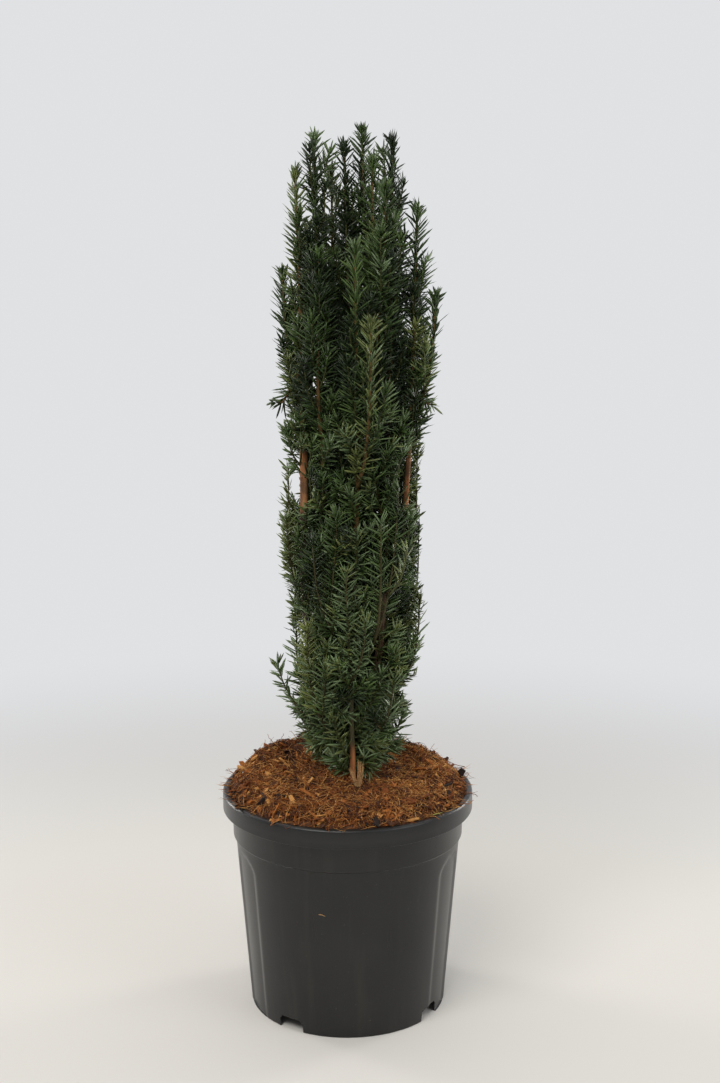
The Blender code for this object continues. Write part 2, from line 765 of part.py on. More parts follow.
def main():
    clear_scene()
    chance = random.Random(SEED)
    plastic = material("black_plastic", (0.022, 0.024, 0.026), 0.42)
    coir = material("coir", (0.26, 0.10, 0.035), 0.95)
    bark = material("bark", (0.21, 0.10, 0.055), 0.85)
    needles = material("needles", (0.035, 0.085, 0.032), 0.55)

    make_pot(plastic)
    make_mix(coir)

    trunk = plan_trunk()
    front_stem = plan_front_stem()
    boughs = {name: plan_bough(trunk, *sizes) for name, sizes in BOUGHS.items()}
    add_limb("trunk", trunk, TRUNK_SIDES, bark)
    add_limb("front_stem", front_stem, LIMB_SIDES, bark)
    for name, bough in boughs.items():
        add_limb("bough_" + name, bough, LIMB_SIDES, bark, cut_by=trunk)

    space = Space()
    for limb in (trunk, front_stem, *boughs.values()):
        space.add(limb.path, max(limb.radii[1:]), LIMB_OWNER, 0)
    masses = plan_masses(trunk, front_stem, boughs)
    for mass in masses:
        mass.register(space)
    for mass in masses:
        mass.add_side_shoots(space, chance)
    for mass in masses:
        make_mass(mass, space, needles, trunk)


main()
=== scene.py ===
"""Looks of the columnar English yew in its nursery pot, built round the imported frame.

Metres, +Z up, +X to the right and +Y to the back. The limbs and the leafy shoots follow
the rule that the solids follow, and are then carried on to finer twigs and single needles.
"""

import json
import math
import random

import bmesh
import bpy
import numpy as np
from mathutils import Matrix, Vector, noise

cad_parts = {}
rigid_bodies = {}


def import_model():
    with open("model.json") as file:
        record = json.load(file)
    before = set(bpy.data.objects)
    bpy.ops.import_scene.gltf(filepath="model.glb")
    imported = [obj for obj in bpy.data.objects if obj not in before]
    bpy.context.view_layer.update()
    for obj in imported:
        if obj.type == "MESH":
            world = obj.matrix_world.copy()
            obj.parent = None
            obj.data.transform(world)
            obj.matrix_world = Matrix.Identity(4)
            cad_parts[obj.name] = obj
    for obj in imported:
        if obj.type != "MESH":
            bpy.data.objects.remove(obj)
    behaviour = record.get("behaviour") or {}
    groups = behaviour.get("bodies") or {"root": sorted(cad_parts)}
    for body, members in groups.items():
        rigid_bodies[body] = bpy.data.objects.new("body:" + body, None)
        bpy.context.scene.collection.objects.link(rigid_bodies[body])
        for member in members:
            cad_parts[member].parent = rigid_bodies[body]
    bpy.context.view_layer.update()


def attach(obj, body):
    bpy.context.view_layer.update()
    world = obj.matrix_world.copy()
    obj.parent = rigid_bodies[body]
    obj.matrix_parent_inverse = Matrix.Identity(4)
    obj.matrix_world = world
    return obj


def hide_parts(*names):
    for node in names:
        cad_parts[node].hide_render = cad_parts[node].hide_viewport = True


GAP = 0.0003

# Pot
POT_SEGMENTS = 360
POT_HEIGHT = 0.276
POT_RIM_RADIUS = 0.155
POT_RIM_DEPTH = 0.023
POT_RIM_WIDTH = 0.0095
POT_RIM_ROUND = 0.0036
POT_BAND_RADIUS = 0.1425
POT_BAND_BOTTOM = 0.2175
POT_BODY_RADIUS = 0.1395
POT_FOOT_RADIUS = 0.122
POT_FOOT_WIDTH = 0.0040
POT_WALL = 0.0030
POT_FLOOR_UNDERSIDE = 0.012
POT_FLOOR_TOP = 0.015
NOTCH_AZIMUTHS = (-124, -34, 56, 146)
NOTCH_WIDTH = 0.034
NOTCH_HEIGHT = 0.0155
NOTCH_REACH = 0.030
PANEL_AZIMUTHS = (-23, 23, 157, 203)
PANEL_HALF_TURN = 14.0
PANEL_EDGE_TURN = 5.0
PANEL_DEPTH = 0.0022
PANEL_TOP = 0.207
PANEL_CORNER = 0.020

# Potting mix
MIX_EDGE_BELOW_RIM = 0.006
MIX_HEAP = 0.020
MIX_BACK_RISE = 0.007
MIX_SHOULDER = 8
MIX_ROUGHNESS = 0.0018
MIX_REACH = POT_RIM_RADIUS - POT_RIM_WIDTH
MIX_CREST = 0.012
MIX_LUMP = 0.0035
MIX_EDGE_RISE = 0.0030
FOOT_MOUND = (-0.004, -0.038, 0.045, 0.008)
MOUND_AZIMUTH = 138
MOUND_HEIGHT = 0.009
STRAY_POINTS = 9
STRAY_REACH = 0.007
STRAY_RISE = 0.019
STRAY_RADIUS = 0.00032
STRAY_AZIMUTHS = (36, 52, 61, 118, 124, 131, 140, 152, 205, 330)
HUSK_FOOT = Vector((0.0141, -0.0600, 0.2880))
HUSK_TIPS = (
    (0.0046, -0.0550, 0.3170),
    (0.0142, -0.0550, 0.3262),
    (0.0166, -0.0550, 0.3240),
)
HUSK_FIBRES = 116
HUSK_TIGHT_FIBRES = 80
HUSK_SPREAD = 1.8

# Mulch: the heap's mesh, and the chips, fibres and grains that lie loose on it
BED_RINGS = 62
BED_SIDES = 220
BED_SKIRT_RADIUS = 0.136
BED_SKIRT_DEPTH = 0.030
# No loose piece reaches further out than this above the rim
MULCH_OVERHANG = 0.1655
CHIPS = 3900
BIG_CHIPS = 430
BIG_CHIP_LENGTHS = (0.013, 0.030)
BIG_CHIP_THICKS = (0.0009, 0.0020)
CHIP_THICKS = (0.0005, 0.0013)
CHIP_WIDTHS = (0.18, 0.46)
FIBRES = 9800
FIBRE_RADII = (0.00019, 0.00045)
FIBRE_TAPER = (0.35, 0.9, 1.0, 1.0, 0.85, 0.3)
FIBRE_SIDES = (0.5, 2.6, 4.7)
GRAINS = 6
GRAIN_IN_SIGHT = (0.0955, -0.010, 0.0022)
GRAIN_SIZES = (0.0007, 0.0012)
# x, y and azimuth of each fallen needle, and the length, bend and half width of all
FALLEN_NEEDLES = ((0.098, -0.105, 20), (0.104, 0.070, 130), (-0.060, 0.110, 75))
FALLEN_SHAPE = (0.017, 0.05, 0.0013)
LOOSE_ABOVE_BED = 0.0045
# The pale fibre stuck to the pot's side
POT_FIBRE_ASIDE = -0.0297
POT_FIBRE_LENGTH = 0.0080
POT_FIBRE_HEIGHT = 0.1625
POT_SIDE_RADIUS = 0.134

# Trunk, front stem and boughs
GROUND = 0.2900
TRUNK_FOOT = Vector((0.004, 0.000, GROUND))
TRUNK_TIP = Vector((0.007, 0.003, 0.600))
TRUNK_RADII = (0.0128, 0.0056)
TRUNK_FLARE = 0.0045
TRUNK_FLARE_HEIGHT = 0.030
FRONT_STEM_FOOT = Vector((0.007, -0.047, GROUND))
FRONT_STEM_TIP = Vector((0.005, -0.054, 0.405))
FRONT_STEM_RADII = (0.0036, 0.0026)
BOUGH_LEAN = 38
BARK_SPACING = 0.0028
BOUGHS = {
    "left": (0.350, 196, (-0.052, -0.012, 0.700), 0.0066, 0.0046),
    "front_left": (0.395, 226, (-0.028, -0.031, 0.650), 0.0052, 0.0036),
    "front": (0.372, 276, (0.011, -0.048, 0.600), 0.0048, 0.0034),
    "right_centre": (0.330, 318, (0.043, -0.030, 0.530), 0.0060, 0.0046),
    "right": (0.420, 350, (0.073, -0.014, 0.690), 0.0046, 0.0032),
    "centre_right": (0.470, 48, (0.025, 0.022, 0.660), 0.0046, 0.0034),
    "back_right": (0.360, 42, (0.052, 0.046, 0.650), 0.0054, 0.0036),
    "back": (0.410, 95, (-0.001, 0.060, 0.650), 0.0050, 0.0036),
    "back_left": (0.385, 142, (-0.045, 0.040, 0.650), 0.0054, 0.0036),
}
BARK_BROWN = ((0.020, 0.013, 0.009), (0.060, 0.035, 0.019), (0.125, 0.073, 0.040))
BARK_ORANGE = ((0.340, 0.125, 0.045), (0.620, 0.270, 0.105), (0.740, 0.400, 0.190))
BARK_RUSSET = ((0.090, 0.050, 0.028), (0.240, 0.138, 0.078), (0.410, 0.262, 0.158))
# The boughs with a bare length: its tones, and the heights that it runs between
PEELED = {
    "left": (BARK_ORANGE, (0.630, 0.692)),
    "right": (BARK_ORANGE, (0.630, 0.700)),
    "right_centre": (BARK_RUSSET, (0.430, 0.525)),
}

# Foliage: the tops of the leading shoots of each mass
TOP_MASSES = {
    "left": ((-0.060, -0.010, 1.032), (-0.075, 0.002, 0.916), (-0.083, -0.014, 0.772)),
    "front_left": ((-0.038, 0.002, 1.070), (-0.032, -0.040, 0.939)),
    "centre": ((-0.003, 0.022, 1.061), (-0.019, 0.042, 1.035)),
    "centre_right": ((0.018, 0.036, 1.078), (0.030, 0.010, 1.045)),
    "right_centre": ((0.053, 0.002, 1.067), (0.044, -0.032, 1.014)),
    "right": ((0.082, 0.000, 0.991), (0.104, -0.006, 0.890), (0.098, -0.018, 0.770)),
    "front": ((0.010, -0.060, 0.947), (0.028, -0.072, 0.862)),
    "back_right": ((0.057, 0.046, 0.990), (0.082, 0.036, 0.910)),
    "back": ((0.008, 0.072, 0.985), (-0.018, 0.078, 0.880)),
    "back_left": ((-0.046, 0.050, 0.975), (-0.070, 0.034, 0.870)),
    "front_stem": ((-0.001, -0.076, 0.575), (0.022, -0.072, 0.515)),
}
SIDE_MASSES = {
    "mid_left": (0.470, 174, ((-0.071, -0.002, 0.686), (-0.072, -0.018, 0.628))),
    "mid_front_left": (0.440, 250, ((-0.012, -0.066, 0.640), (-0.040, -0.062, 0.610))),
    "mid_front_right": (0.420, 298, ((0.060, -0.052, 0.670), (0.040, -0.070, 0.635))),
    "mid_right": (0.500, 10, ((0.084, 0.008, 0.706), (0.078, -0.012, 0.625))),
    "mid_back_right": (0.408, 20, ((0.088, 0.032, 0.620), (0.074, 0.058, 0.665))),
    "mid_back": (0.455, 72, ((0.026, 0.074, 0.670), (0.042, 0.078, 0.590))),
    "mid_back_left": (0.470, 118, ((-0.036, 0.070, 0.670), (-0.020, 0.080, 0.590))),
    "mid_left_back": (0.438, 164, ((-0.064, 0.030, 0.640), (-0.060, 0.050, 0.580))),
    "low_left": (0.330, 206, ((-0.084, -0.012, 0.446), (-0.068, -0.026, 0.412))),
    "low_front_left": (0.322, 238, ((-0.026, -0.060, 0.455), (-0.048, -0.046, 0.500))),
    "low_front_right": (0.312, 312, ((0.056, -0.048, 0.440), (0.032, -0.062, 0.400))),
    "low_right": (0.360, 352, ((0.088, -0.008, 0.528), (0.082, -0.020, 0.440))),
    "low_back_right": (0.318, 28, ((0.064, 0.034, 0.460), (0.046, 0.056, 0.410))),
    "low_back": (0.330, 84, ((0.010, 0.066, 0.470), (0.026, 0.060, 0.400))),
    "low_back_left": (0.314, 130, ((-0.038, 0.052, 0.450), (-0.052, 0.032, 0.400))),
    "low_left_back": (0.340, 162, ((-0.064, 0.020, 0.500), (-0.058, 0.008, 0.390))),
    "foot_front": (0.302, 262, ((-0.004, -0.038, 0.352),)),
    "foot_right": (0.304, 336, ((0.066, -0.014, 0.385),)),
    "foot_back": (0.303, 58, ((0.028, 0.044, 0.358),)),
    "foot_left": (0.301, 168, ((-0.050, 0.008, 0.362),)),
}
SIDE_LEAN = 62
KNEE_OUT = 0.82
KNEE_RISE = 0.70
KNEE_LEAN = 28
CROWN_OUTLINE = (
    (0.290, -0.055, 0.060),
    (0.335, -0.068, 0.088),
    (0.400, -0.086, 0.088),
    (0.435, -0.097, 0.092),
    (0.476, -0.080, 0.100),
    (0.569, -0.086, 0.103),
    (0.683, -0.090, 0.106),
    (0.758, -0.094, 0.110),
    (0.875, -0.094, 0.119),
    (0.912, -0.093, 0.114),
    (0.987, -0.086, 0.106),
    (1.024, -0.082, 0.084),
    (1.067, -0.060, 0.074),
    (1.090, -0.040, 0.050),
)
CROWN_DEPTH_RATIO = 0.95
# The same outline drawn finer, for the tips of the needles
NEEDLE_OUTLINE = (
    (0.290, -0.066, 0.082),
    (0.341, -0.071, 0.089),
    (0.382, -0.081, 0.082),
    (0.402, -0.090, 0.071),
    (0.423, -0.099, 0.085),
    (0.443, -0.097, 0.089),
    (0.463, -0.079, 0.095),
    (0.503, -0.075, 0.098),
    (0.523, -0.077, 0.095),
    (0.545, -0.083, 0.092),
    (0.563, -0.083, 0.088),
    (0.583, -0.083, 0.089),
    (0.622, -0.086, 0.091),
    (0.661, -0.082, 0.090),
    (0.681, -0.080, 0.092),
    (0.700, -0.076, 0.095),
    (0.719, -0.086, 0.103),
    (0.745, -0.094, 0.109),
    (0.760, -0.093, 0.111),
    (0.777, -0.084, 0.110),
    (0.796, -0.088, 0.108),
    (0.833, -0.085, 0.108),
    (0.871, -0.093, 0.123),
    (0.889, -0.089, 0.115),
    (0.908, -0.087, 0.107),
    (0.926, -0.085, 0.108),
    (0.945, -0.082, 0.109),
    (0.963, -0.078, 0.104),
    (0.981, -0.072, 0.095),
    (1.000, -0.071, 0.074),
    (1.018, -0.070, 0.068),
    (1.036, -0.060, 0.064),
    (1.090, -0.046, 0.056),
)

# Shoots, as in the solids
WHORL_STEP = 0.020
STEM_RADIUS = 0.0030
TIP_NEEDLE = 0.016
SPINE_SAMPLE = 0.004
SPINE_SPACING = 0.0100
GOLDEN_ANGLE = 137.5
SHOOT_STEP = 0.085
SHOOT_OUT = 0.020
SHOOT_UP = 0.050
SHOOT_LEAN = 52
SHOOT_RADIUS = 0.0024
SHOOT_SIZES = (0.80, 1.15)
SHOOT_TRIES = 3
FORK_AT = 0.16
FORK_STEP = 0.12
FORK_SWING = 22
ERECT_LEAN = 3
SEED = 41
LIMB_OWNER = -1

# Finer twigs: spacing along what carries them, reach out and up, and room round each
TWIG_RADIUS = 0.0016
TWIG_ROOM = 0.0046
TWIG_APART = 0.0075
TWIG_TRIES = 6
TWIG_INSET = 0.0125
TOP_TWIG_INSET = 0.017
TOP_TWIGS_FROM = 0.900
BARE_TOP = 0.085
BUSHY_TOPS = {"foliage_front_left": 0.040, "foliage_right_centre": 0.050}
TOP_MARGIN = 0.012
LOWER_TOP_MARGIN = 0.034
# Each kind: step, reach out, reach up, lean where it leaves, lean of its tip
LIMB_TWIGS = (0.011, (0.018, 0.052), (0.026, 0.064), 58, (4, 34))
SHOOT_TWIGS = (0.013, (0.009, 0.028), (0.016, 0.042), 56, (4, 42))
TWIG_TWIGS = (0.014, (0.008, 0.024), (0.010, 0.034), 56, (8, 50))
ERECT_TWIGS = (0.018, (0.007, 0.017), (0.028, 0.058), 44, (1, 10))
SKIRT_TWIGS = (0.009, (0.016, 0.036), (-0.006, 0.018), 78, (48, 82))
SKIRT_BAND = (0.0, 0.420)
LOWER_BAND = (0.0, 0.730)
UPPER_BAND = (0.730, 9.0)
ANY_HEIGHT = (0.0, 9.0)
LIMB_BARE_FOOT = 0.018
SKIRT_BARE_FOOT = 0.010

# Radii of the twigs and leaders under the needles
TWIG_RADII = (0.0014, 0.0009)
LEADER_TIP_RADIUS = 0.0011
LOW_LEADER_SHARE = 0.62

# Needles
NEEDLE_STEPS = (0.00120, 0.0013, 0.0014)
NEEDLE_STEP_AT_TIP = 0.00055
NEEDLE_TIP_ZONE = 0.020
NEEDLE_LENGTH = 0.0245
NEEDLE_HALF_WIDTH = 0.00134
NEEDLE_ROLL = 50
NEEDLE_THICK = 0.00060
NEEDLE_ANGLE = 57
NEEDLE_ANGLES_AT_TIP = (8, 66)
# Tops of the leading shoots: a dense ragged head, and short needles close along the stem
HEAD_FROM = 0.800
HEAD_ZONE = 0.013
HEAD_STEP = 0.00034
HEAD_ANGLES = (14, 60)
HEAD_LENGTHS = (0.56, 0.74)
COLUMN_ZONE = 0.115
COLUMN_STEP = 0.00085
COLUMN_SHARE = 0.48
COLUMN_ANGLES = (9, 27)
COLUMN_LENGTHS = (0.45, 0.64)
COLUMN_LEAN = 46
NEEDLE_RINGS = ((0.0, 0.45, 1.4), (0.28, 1.0, 1.0), (0.74, 0.84, 0.9))
NEEDLE_CUTS = (1.0, 0.84, 0.68, 0.54)
NEEDLE_SPILL = 0.0028
NEEDLES_A_PIECE = 12000
TWIG_BARE_FOOT = 0.004
LEADER_BARE_FOOT = 0.012
LIMB_ROOM = 0.0012

# The eye that the photograph was taken from; glimpses of light are open along its rays
EYE = Vector((0.0153, -1.920, 0.961))
EYE_PITCH = 11.05
EYE_LENS = 53.75
SENSOR = 36.0

# Places where light shows through the crown, or its dark inside shows, on the plane y = 0:
# x, z, half width, half height, the share of needles left out there, and how far back
GLIMPSES = (
    (-0.020, 0.985, 0.006, 0.012, 0.9, 1.0),
    (-0.020, 0.945, 0.005, 0.010, 0.8, 1.0),
    (-0.046, 0.975, 0.004, 0.012, 0.8, 1.0),
    (0.006, 0.985, 0.004, 0.012, 0.7, 1.0),
    (0.030, 1.002, 0.004, 0.012, 0.7, 1.0),
    (0.072, 0.956, 0.004, 0.012, 0.7, 1.0),
    (0.072, 0.893, 0.003, 0.016, 0.5, 1.0),
    (0.077, 0.840, 0.004, 0.014, 0.7, 1.0),
    (-0.034, 0.776, 0.008, 0.018, 0.8, 1.0),
    (-0.061, 0.690, 0.004, 0.012, 0.9, 1.0),
    (-0.062, 0.655, 0.004, 0.022, 0.9, 1.0),
    (-0.036, 0.680, 0.006, 0.016, 0.6, 1.0),
    (-0.026, 0.650, 0.006, 0.014, 0.6, 1.0),
    (0.045, 0.722, 0.004, 0.008, 0.8, 1.0),
    (0.036, 0.622, 0.004, 0.010, 0.8, 1.0),
    (-0.040, 0.560, 0.003, 0.004, 0.8, 1.0),
    (-0.0725, 0.430, 0.0040, 0.015, 0.85, 1.0),
    (-0.0640, 0.405, 0.0045, 0.016, 0.85, 1.0),
    (-0.0560, 0.381, 0.0040, 0.012, 0.70, 1.0),
    (0.0385, 0.632, 0.0035, 0.026, 0.95, -0.030),
    (0.0510, 0.545, 0.0060, 0.085, 0.60, -0.022),
    (0.0210, 0.304, 0.0100, 0.018, 0.80, -0.020),
)
# No twig crosses the glimpses with a greater share than this
OPEN_SHARE = 0.75

# Bare lengths of limb that nothing hides from the front: the bough, the heights that they run
# between, and the room kept beside them
BARE_VIEWS = (
    ("left", 0.634, 0.700, 0.0032),
    ("right", 0.633, 0.694, 0.0050),
    ("right_centre", 0.440, 0.530, 0.0036),
)


def heading(azimuth, lean):
    """Direction at an azimuth from +X, leaning so many degrees from the vertical."""
    side = math.sin(math.radians(lean))
    turn = math.radians(azimuth)
    return Vector((side * math.cos(turn), side * math.sin(turn), math.cos(math.radians(lean))))


def curve(start, end, leave, arrive, spacing):
    """Points about one spacing apart on a smooth curve that leaves and arrives as told."""
    reach = (end - start).length
    count = max(2, round(reach / spacing))
    points = []
    for step in range(count + 1):
        t = step / count
        points.append(
            start * (2 * t**3 - 3 * t**2 + 1)
            + leave * reach * (t**3 - 2 * t**2 + t)
            + end * (3 * t**2 - 2 * t**3)
            + arrive * reach * (t**3 - t**2)
        )
    return points


def path_length(path):
    return sum((high - low).length for low, high in zip(path, path[1:]))


def directions(path):
    found = []
    for index in range(len(path)):
        before = path[max(index - 1, 0)]
        after = path[min(index + 1, len(path) - 1)]
        found.append((after - before).normalized())
    return found


def smooth_path(path, spacing):
    """A path's points spaced evenly along a rounded curve through them, as an array."""
    knots = np.array([tuple(point) for point in path])
    ends = np.vstack((2 * knots[0] - knots[1], knots, 2 * knots[-1] - knots[-2]))
    fine = []
    for index in range(1, len(ends) - 2):
        a, b, c, d = ends[index - 1 : index + 3]
        for t in np.linspace(0, 1, 8, endpoint=False):
            fine.append(
                0.5 * (2 * b + (c - a) * t + (2 * a - 5 * b + 4 * c - d) * t**2
                       + (3 * b - a - 3 * c + d) * t**3)
            )
    fine.append(knots[-1])
    fine = np.array(fine)
    runs = np.concatenate(([0], np.cumsum(np.linalg.norm(np.diff(fine, axis=0), axis=1))))
    count = max(2, round(runs[-1] / spacing) + 1)
    at = np.linspace(0, runs[-1], count)
    even = np.stack([np.interp(at, runs, fine[:, axis]) for axis in range(3)], axis=1)
    return even, at


def unit(rows):
    return rows / np.linalg.norm(rows, axis=1, keepdims=True)


def frames(points):
    """Direction and two square axes at each point of an even path."""
    ways = unit(np.gradient(points, axis=0))
    across = unit(np.cross((0.0, 1.0, 0.0), ways))
    return ways, across, np.cross(ways, across)


BLACK = (0.0, 0.0, 0.0)
WHITE = (1.0, 1.0, 1.0)
NOISE_ROUGHNESS = 0.55
BARK_STOPS = (0.34, 0.50, 0.70)


def add_node(tree, kind, source, socket, settings=()):
    """A shader node with one input linked to a source and others set."""
    node = tree.nodes.new(kind)
    for name, value in settings:
        node.inputs[name].default_value = value
    tree.links.new(source, node.inputs[socket])
    return node


class Look:
    """A node material under construction."""

    def __init__(self, name, colour, roughness):
        self.material = bpy.data.materials.new(name)
        self.material.use_nodes = True
        self.tree = self.material.node_tree
        self.shader = self.tree.nodes["Principled BSDF"]
        self.shader.inputs["Base Color"].default_value = (*colour, 1.0)
        self.shader.inputs["Roughness"].default_value = roughness
        self.place = self.tree.nodes.new("ShaderNodeTexCoord").outputs["Object"]

    def add(self, kind, source, socket, *settings):
        return add_node(self.tree, kind, source, socket, settings)

    def noise(self, scale, detail, stretch=None):
        place = self.place
        if stretch:
            mapping = self.add("ShaderNodeMapping", place, "Vector", ("Scale", stretch))
            place = mapping.outputs["Vector"]
        node = self.add("ShaderNodeTexNoise", place, "Vector", ("Scale", scale),
                        ("Detail", detail), ("Roughness", NOISE_ROUGHNESS))
        return node.outputs["Fac"]

    def height(self):
        return self.add("ShaderNodeSeparateXYZ", self.place, "Vector").outputs["Z"]

    def ramp(self, source, stops):
        node = self.add("ShaderNodeValToRGB", source, "Fac")
        elements = node.color_ramp.elements
        while len(elements) < len(stops):
            elements.new(0.5)
        for element, (place, colour) in zip(elements, stops):
            element.position = place
            element.color = (*colour, 1.0)
        return node.outputs["Color"]

    def mix(self, factor, first, second):
        node = self.tree.nodes.new("ShaderNodeMix")
        node.data_type = "RGBA"
        for number, value in ((0, factor), (6, first), (7, second)):
            socket = node.inputs[number]
            if isinstance(value, bpy.types.NodeSocket):
                self.tree.links.new(value, socket)
            else:
                socket.default_value = (*value, 1.0)
        return node.outputs[2]

    def colour(self, source):
        self.tree.links.new(source, self.shader.inputs["Base Color"])

    def vary(self, source, colour, darker, lighter, low=0.30, high=0.70):
        """Colour by the source, from a darker to a lighter shade of one colour."""
        stops = ((low, scaled(colour, darker)), (high, scaled(colour, lighter)))
        self.colour(self.ramp(source, stops))

    def roughness(self, source, low, high):
        node = self.add("ShaderNodeMapRange", source, "Value", ("To Min", low),
                        ("To Max", high))
        self.tree.links.new(node.outputs["Result"], self.shader.inputs["Roughness"])

    def bump(self, source, distance, strength):
        node = self.add("ShaderNodeBump", source, "Height", ("Distance", distance),
                        ("Strength", strength))
        self.tree.links.new(node.outputs["Normal"], self.shader.inputs["Normal"])

    def specular(self, value):
        self.shader.inputs["Specular IOR Level"].default_value = value


def scaled(colour, factor):
    return tuple(part * factor for part in colour)


def plastic_look():
    """Scuffed black plastic with brownish streaks, specks of dust and a paler rim, partly dust
    and partly painted light from above.
    """
    look = Look("pot_plastic_look", (0.030, 0.031, 0.033), 0.42)
    cloud = look.noise(14.0, 5.0)
    base = look.ramp(cloud, ((0.30, (0.007, 0.0073, 0.0078)), (0.75, (0.012, 0.012, 0.012))))
    streak = look.noise(60.0, 3.0, (1.0, 1.0, 0.05))
    brownish = look.ramp(streak, ((0.52, BLACK), (0.72, WHITE)))
    wear_and_rim_light = look.mix(brownish, base, (0.018, 0.0165, 0.014))
    specks = look.ramp(look.noise(420.0, 2.0), ((0.70, BLACK), (0.78, WHITE)))
    # The paler rim is partly dust and partly painted light falling on the rim from above
    rim = look.ramp(look.height(), ((0.255, BLACK), (0.262, scaled(WHITE, 0.8))))
    wear_and_rim_light = look.mix(rim, wear_and_rim_light, (0.0215, 0.0210, 0.0205))
    look.colour(look.mix(specks, wear_and_rim_light, (0.055, 0.051, 0.045)))
    look.roughness(streak, 0.24, 0.36)
    look.bump(look.noise(900.0, 2.0), 0.00012, 0.35)
    look.specular(0.45)
    return look.material


def soil_look():
    look = Look("mulch_bed_look", (0.12, 0.05, 0.02), 0.95)
    fibre = look.noise(260.0, 6.0)
    brown = look.ramp(fibre, ((0.32, (0.020, 0.008, 0.004)), (0.50, (0.110, 0.040, 0.014)),
                              (0.68, (0.260, 0.100, 0.032))))
    clod = look.ramp(look.noise(45.0, 5.0), ((0.35, BLACK), (0.65, scaled(WHITE, 0.6))))
    look.colour(look.mix(clod, brown, (0.060, 0.024, 0.010)))
    look.bump(fibre, 0.0015, 0.8)
    return look.material


def chip_look(name, colour):
    look = Look(name, colour, 0.9)
    grain = look.noise(500.0, 3.0)
    look.vary(grain, colour, 0.62, 1.35)
    look.bump(grain, 0.0004, 0.6)
    return look.material


def bark_look(name, tones, bare_tones=None, heights=None):
    """Plated bark, in other tones where the old bark has peeled between two heights."""
    look = Look(name, tones[1], 0.85)
    plates = look.noise(85.0, 6.0, (1.0, 1.0, 0.22))
    stain = look.noise(38.0, 4.0, (1.0, 1.0, 0.6))
    wood = look.ramp(plates, tuple(zip(BARK_STOPS, tones)))
    if bare_tones:
        bare = look.ramp(plates, tuple(zip(BARK_STOPS, bare_tones)))
        low, high = heights
        peeled = look.ramp(look.height(), (
            (low - 0.010, BLACK), (low, WHITE), (high, WHITE), (high + 0.008, BLACK)))
        wood = look.mix(peeled, wood, bare)
    shade = look.ramp(stain, ((0.46, BLACK), (0.66, scaled(WHITE, 0.75))))
    look.colour(look.mix(shade, wood, tones[1]))
    look.roughness(plates, 0.72, 0.92)
    look.bump(plates, 0.0008, 0.8)
    return look.material


def front_stem_look():
    """Orange-brown bark at the foot, olive young bark above."""
    look = Look("bark_front_stem_look", (0.10, 0.07, 0.03), 0.8)
    plates = look.noise(120.0, 5.0, (1.0, 1.0, 0.25))
    foot = look.ramp(plates, ((0.34, (0.200, 0.070, 0.022)), (0.66, (0.560, 0.215, 0.070))))
    young = look.ramp(plates, ((0.34, (0.034, 0.032, 0.012)), (0.66, (0.120, 0.098, 0.038))))
    height = look.ramp(look.height(), ((0.334, BLACK), (0.350, WHITE)))
    look.colour(look.mix(height, foot, young))
    look.bump(plates, 0.0006, 0.8)
    return look.material


def needle_look(name, colour, roughness):
    look = Look(name, colour, roughness)
    patch = look.noise(34.0, 3.0)
    look.vary(patch, colour, 0.66, 1.36, 0.32, 0.68)
    look.roughness(patch, roughness - 0.12, roughness + 0.04)
    look.specular(0.46)
    return look.material


def stem_look(name, colour):
    look = Look(name, colour, 0.6)
    grain = look.noise(240.0, 3.0, (1.0, 1.0, 0.3))
    look.vary(grain, colour, 0.6, 1.35)
    look.bump(grain, 0.0003, 0.5)
    look.specular(0.2)
    return look.material


def add_piece(name, points, faces, look, smooth=True):
    mesh = bpy.data.meshes.new(name)
    mesh.from_pydata(points, [], faces)
    mesh.materials.append(look)
    if smooth:
        mesh.shade_smooth()
    mesh.update()
    piece = bpy.data.objects.new(name, mesh)
    bpy.context.scene.collection.objects.link(piece)
    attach(piece, "root")
    return piece


class Batch:
    """Many small meshes joined into one piece."""

    def __init__(self):
        self.points = []
        self.faces = []
        self.count = 0

    def add(self, points, faces):
        self.points.append(points)
        for face in faces:
            self.faces.append([index + self.count for index in face])
        self.count += len(points)

    def piece(self, name, look, slot, smooth=True):
        points = np.vstack(self.points).tolist()
        return add_piece(name, points, self.faces, look, smooth)


def tube_faces(rings, sides):
    faces = []
    for ring in range(rings - 1):
        low, high = ring * sides, (ring + 1) * sides
        for side in range(sides):
            after = (side + 1) % sides
            faces.append((low + side, low + after, high + after, high + side))
    faces.append(tuple(reversed(range(sides))))
    last = (rings - 1) * sides
    faces.append(tuple(range(last, last + sides)))
    return faces


def circle(radius, sides):
    """Places evenly round a circle, as x and y."""
    turns = [2 * math.pi * side / sides for side in range(sides)]
    return [(radius * math.cos(turn), radius * math.sin(turn)) for turn in turns]


def disc_faces(circles, sides):
    """Faces of a middle point and the circles of points round it."""
    faces = []
    for side in range(sides):
        after = (side + 1) % sides
        faces.append((0, 1 + side, 1 + after))
        for ring in range(circles - 1):
            inner, outer = 1 + ring * sides, 1 + (ring + 1) * sides
            faces.append((inner + side, outer + side, outer + after, inner + after))
    return faces


def tube_points(points, radii, sides, relief=None):
    ways, across, up = frames(points)
    turn = np.linspace(0, 2 * math.pi, sides, endpoint=False)
    ring = (np.cos(turn)[None, :, None] * across[:, None, :]
            + np.sin(turn)[None, :, None] * up[:, None, :])
    size = np.repeat(radii[:, None], sides, axis=1)
    if relief is not None:
        size = size + relief(points, turn)
    return (points[:, None, :] + ring * size[:, :, None]).reshape(-1, 3)


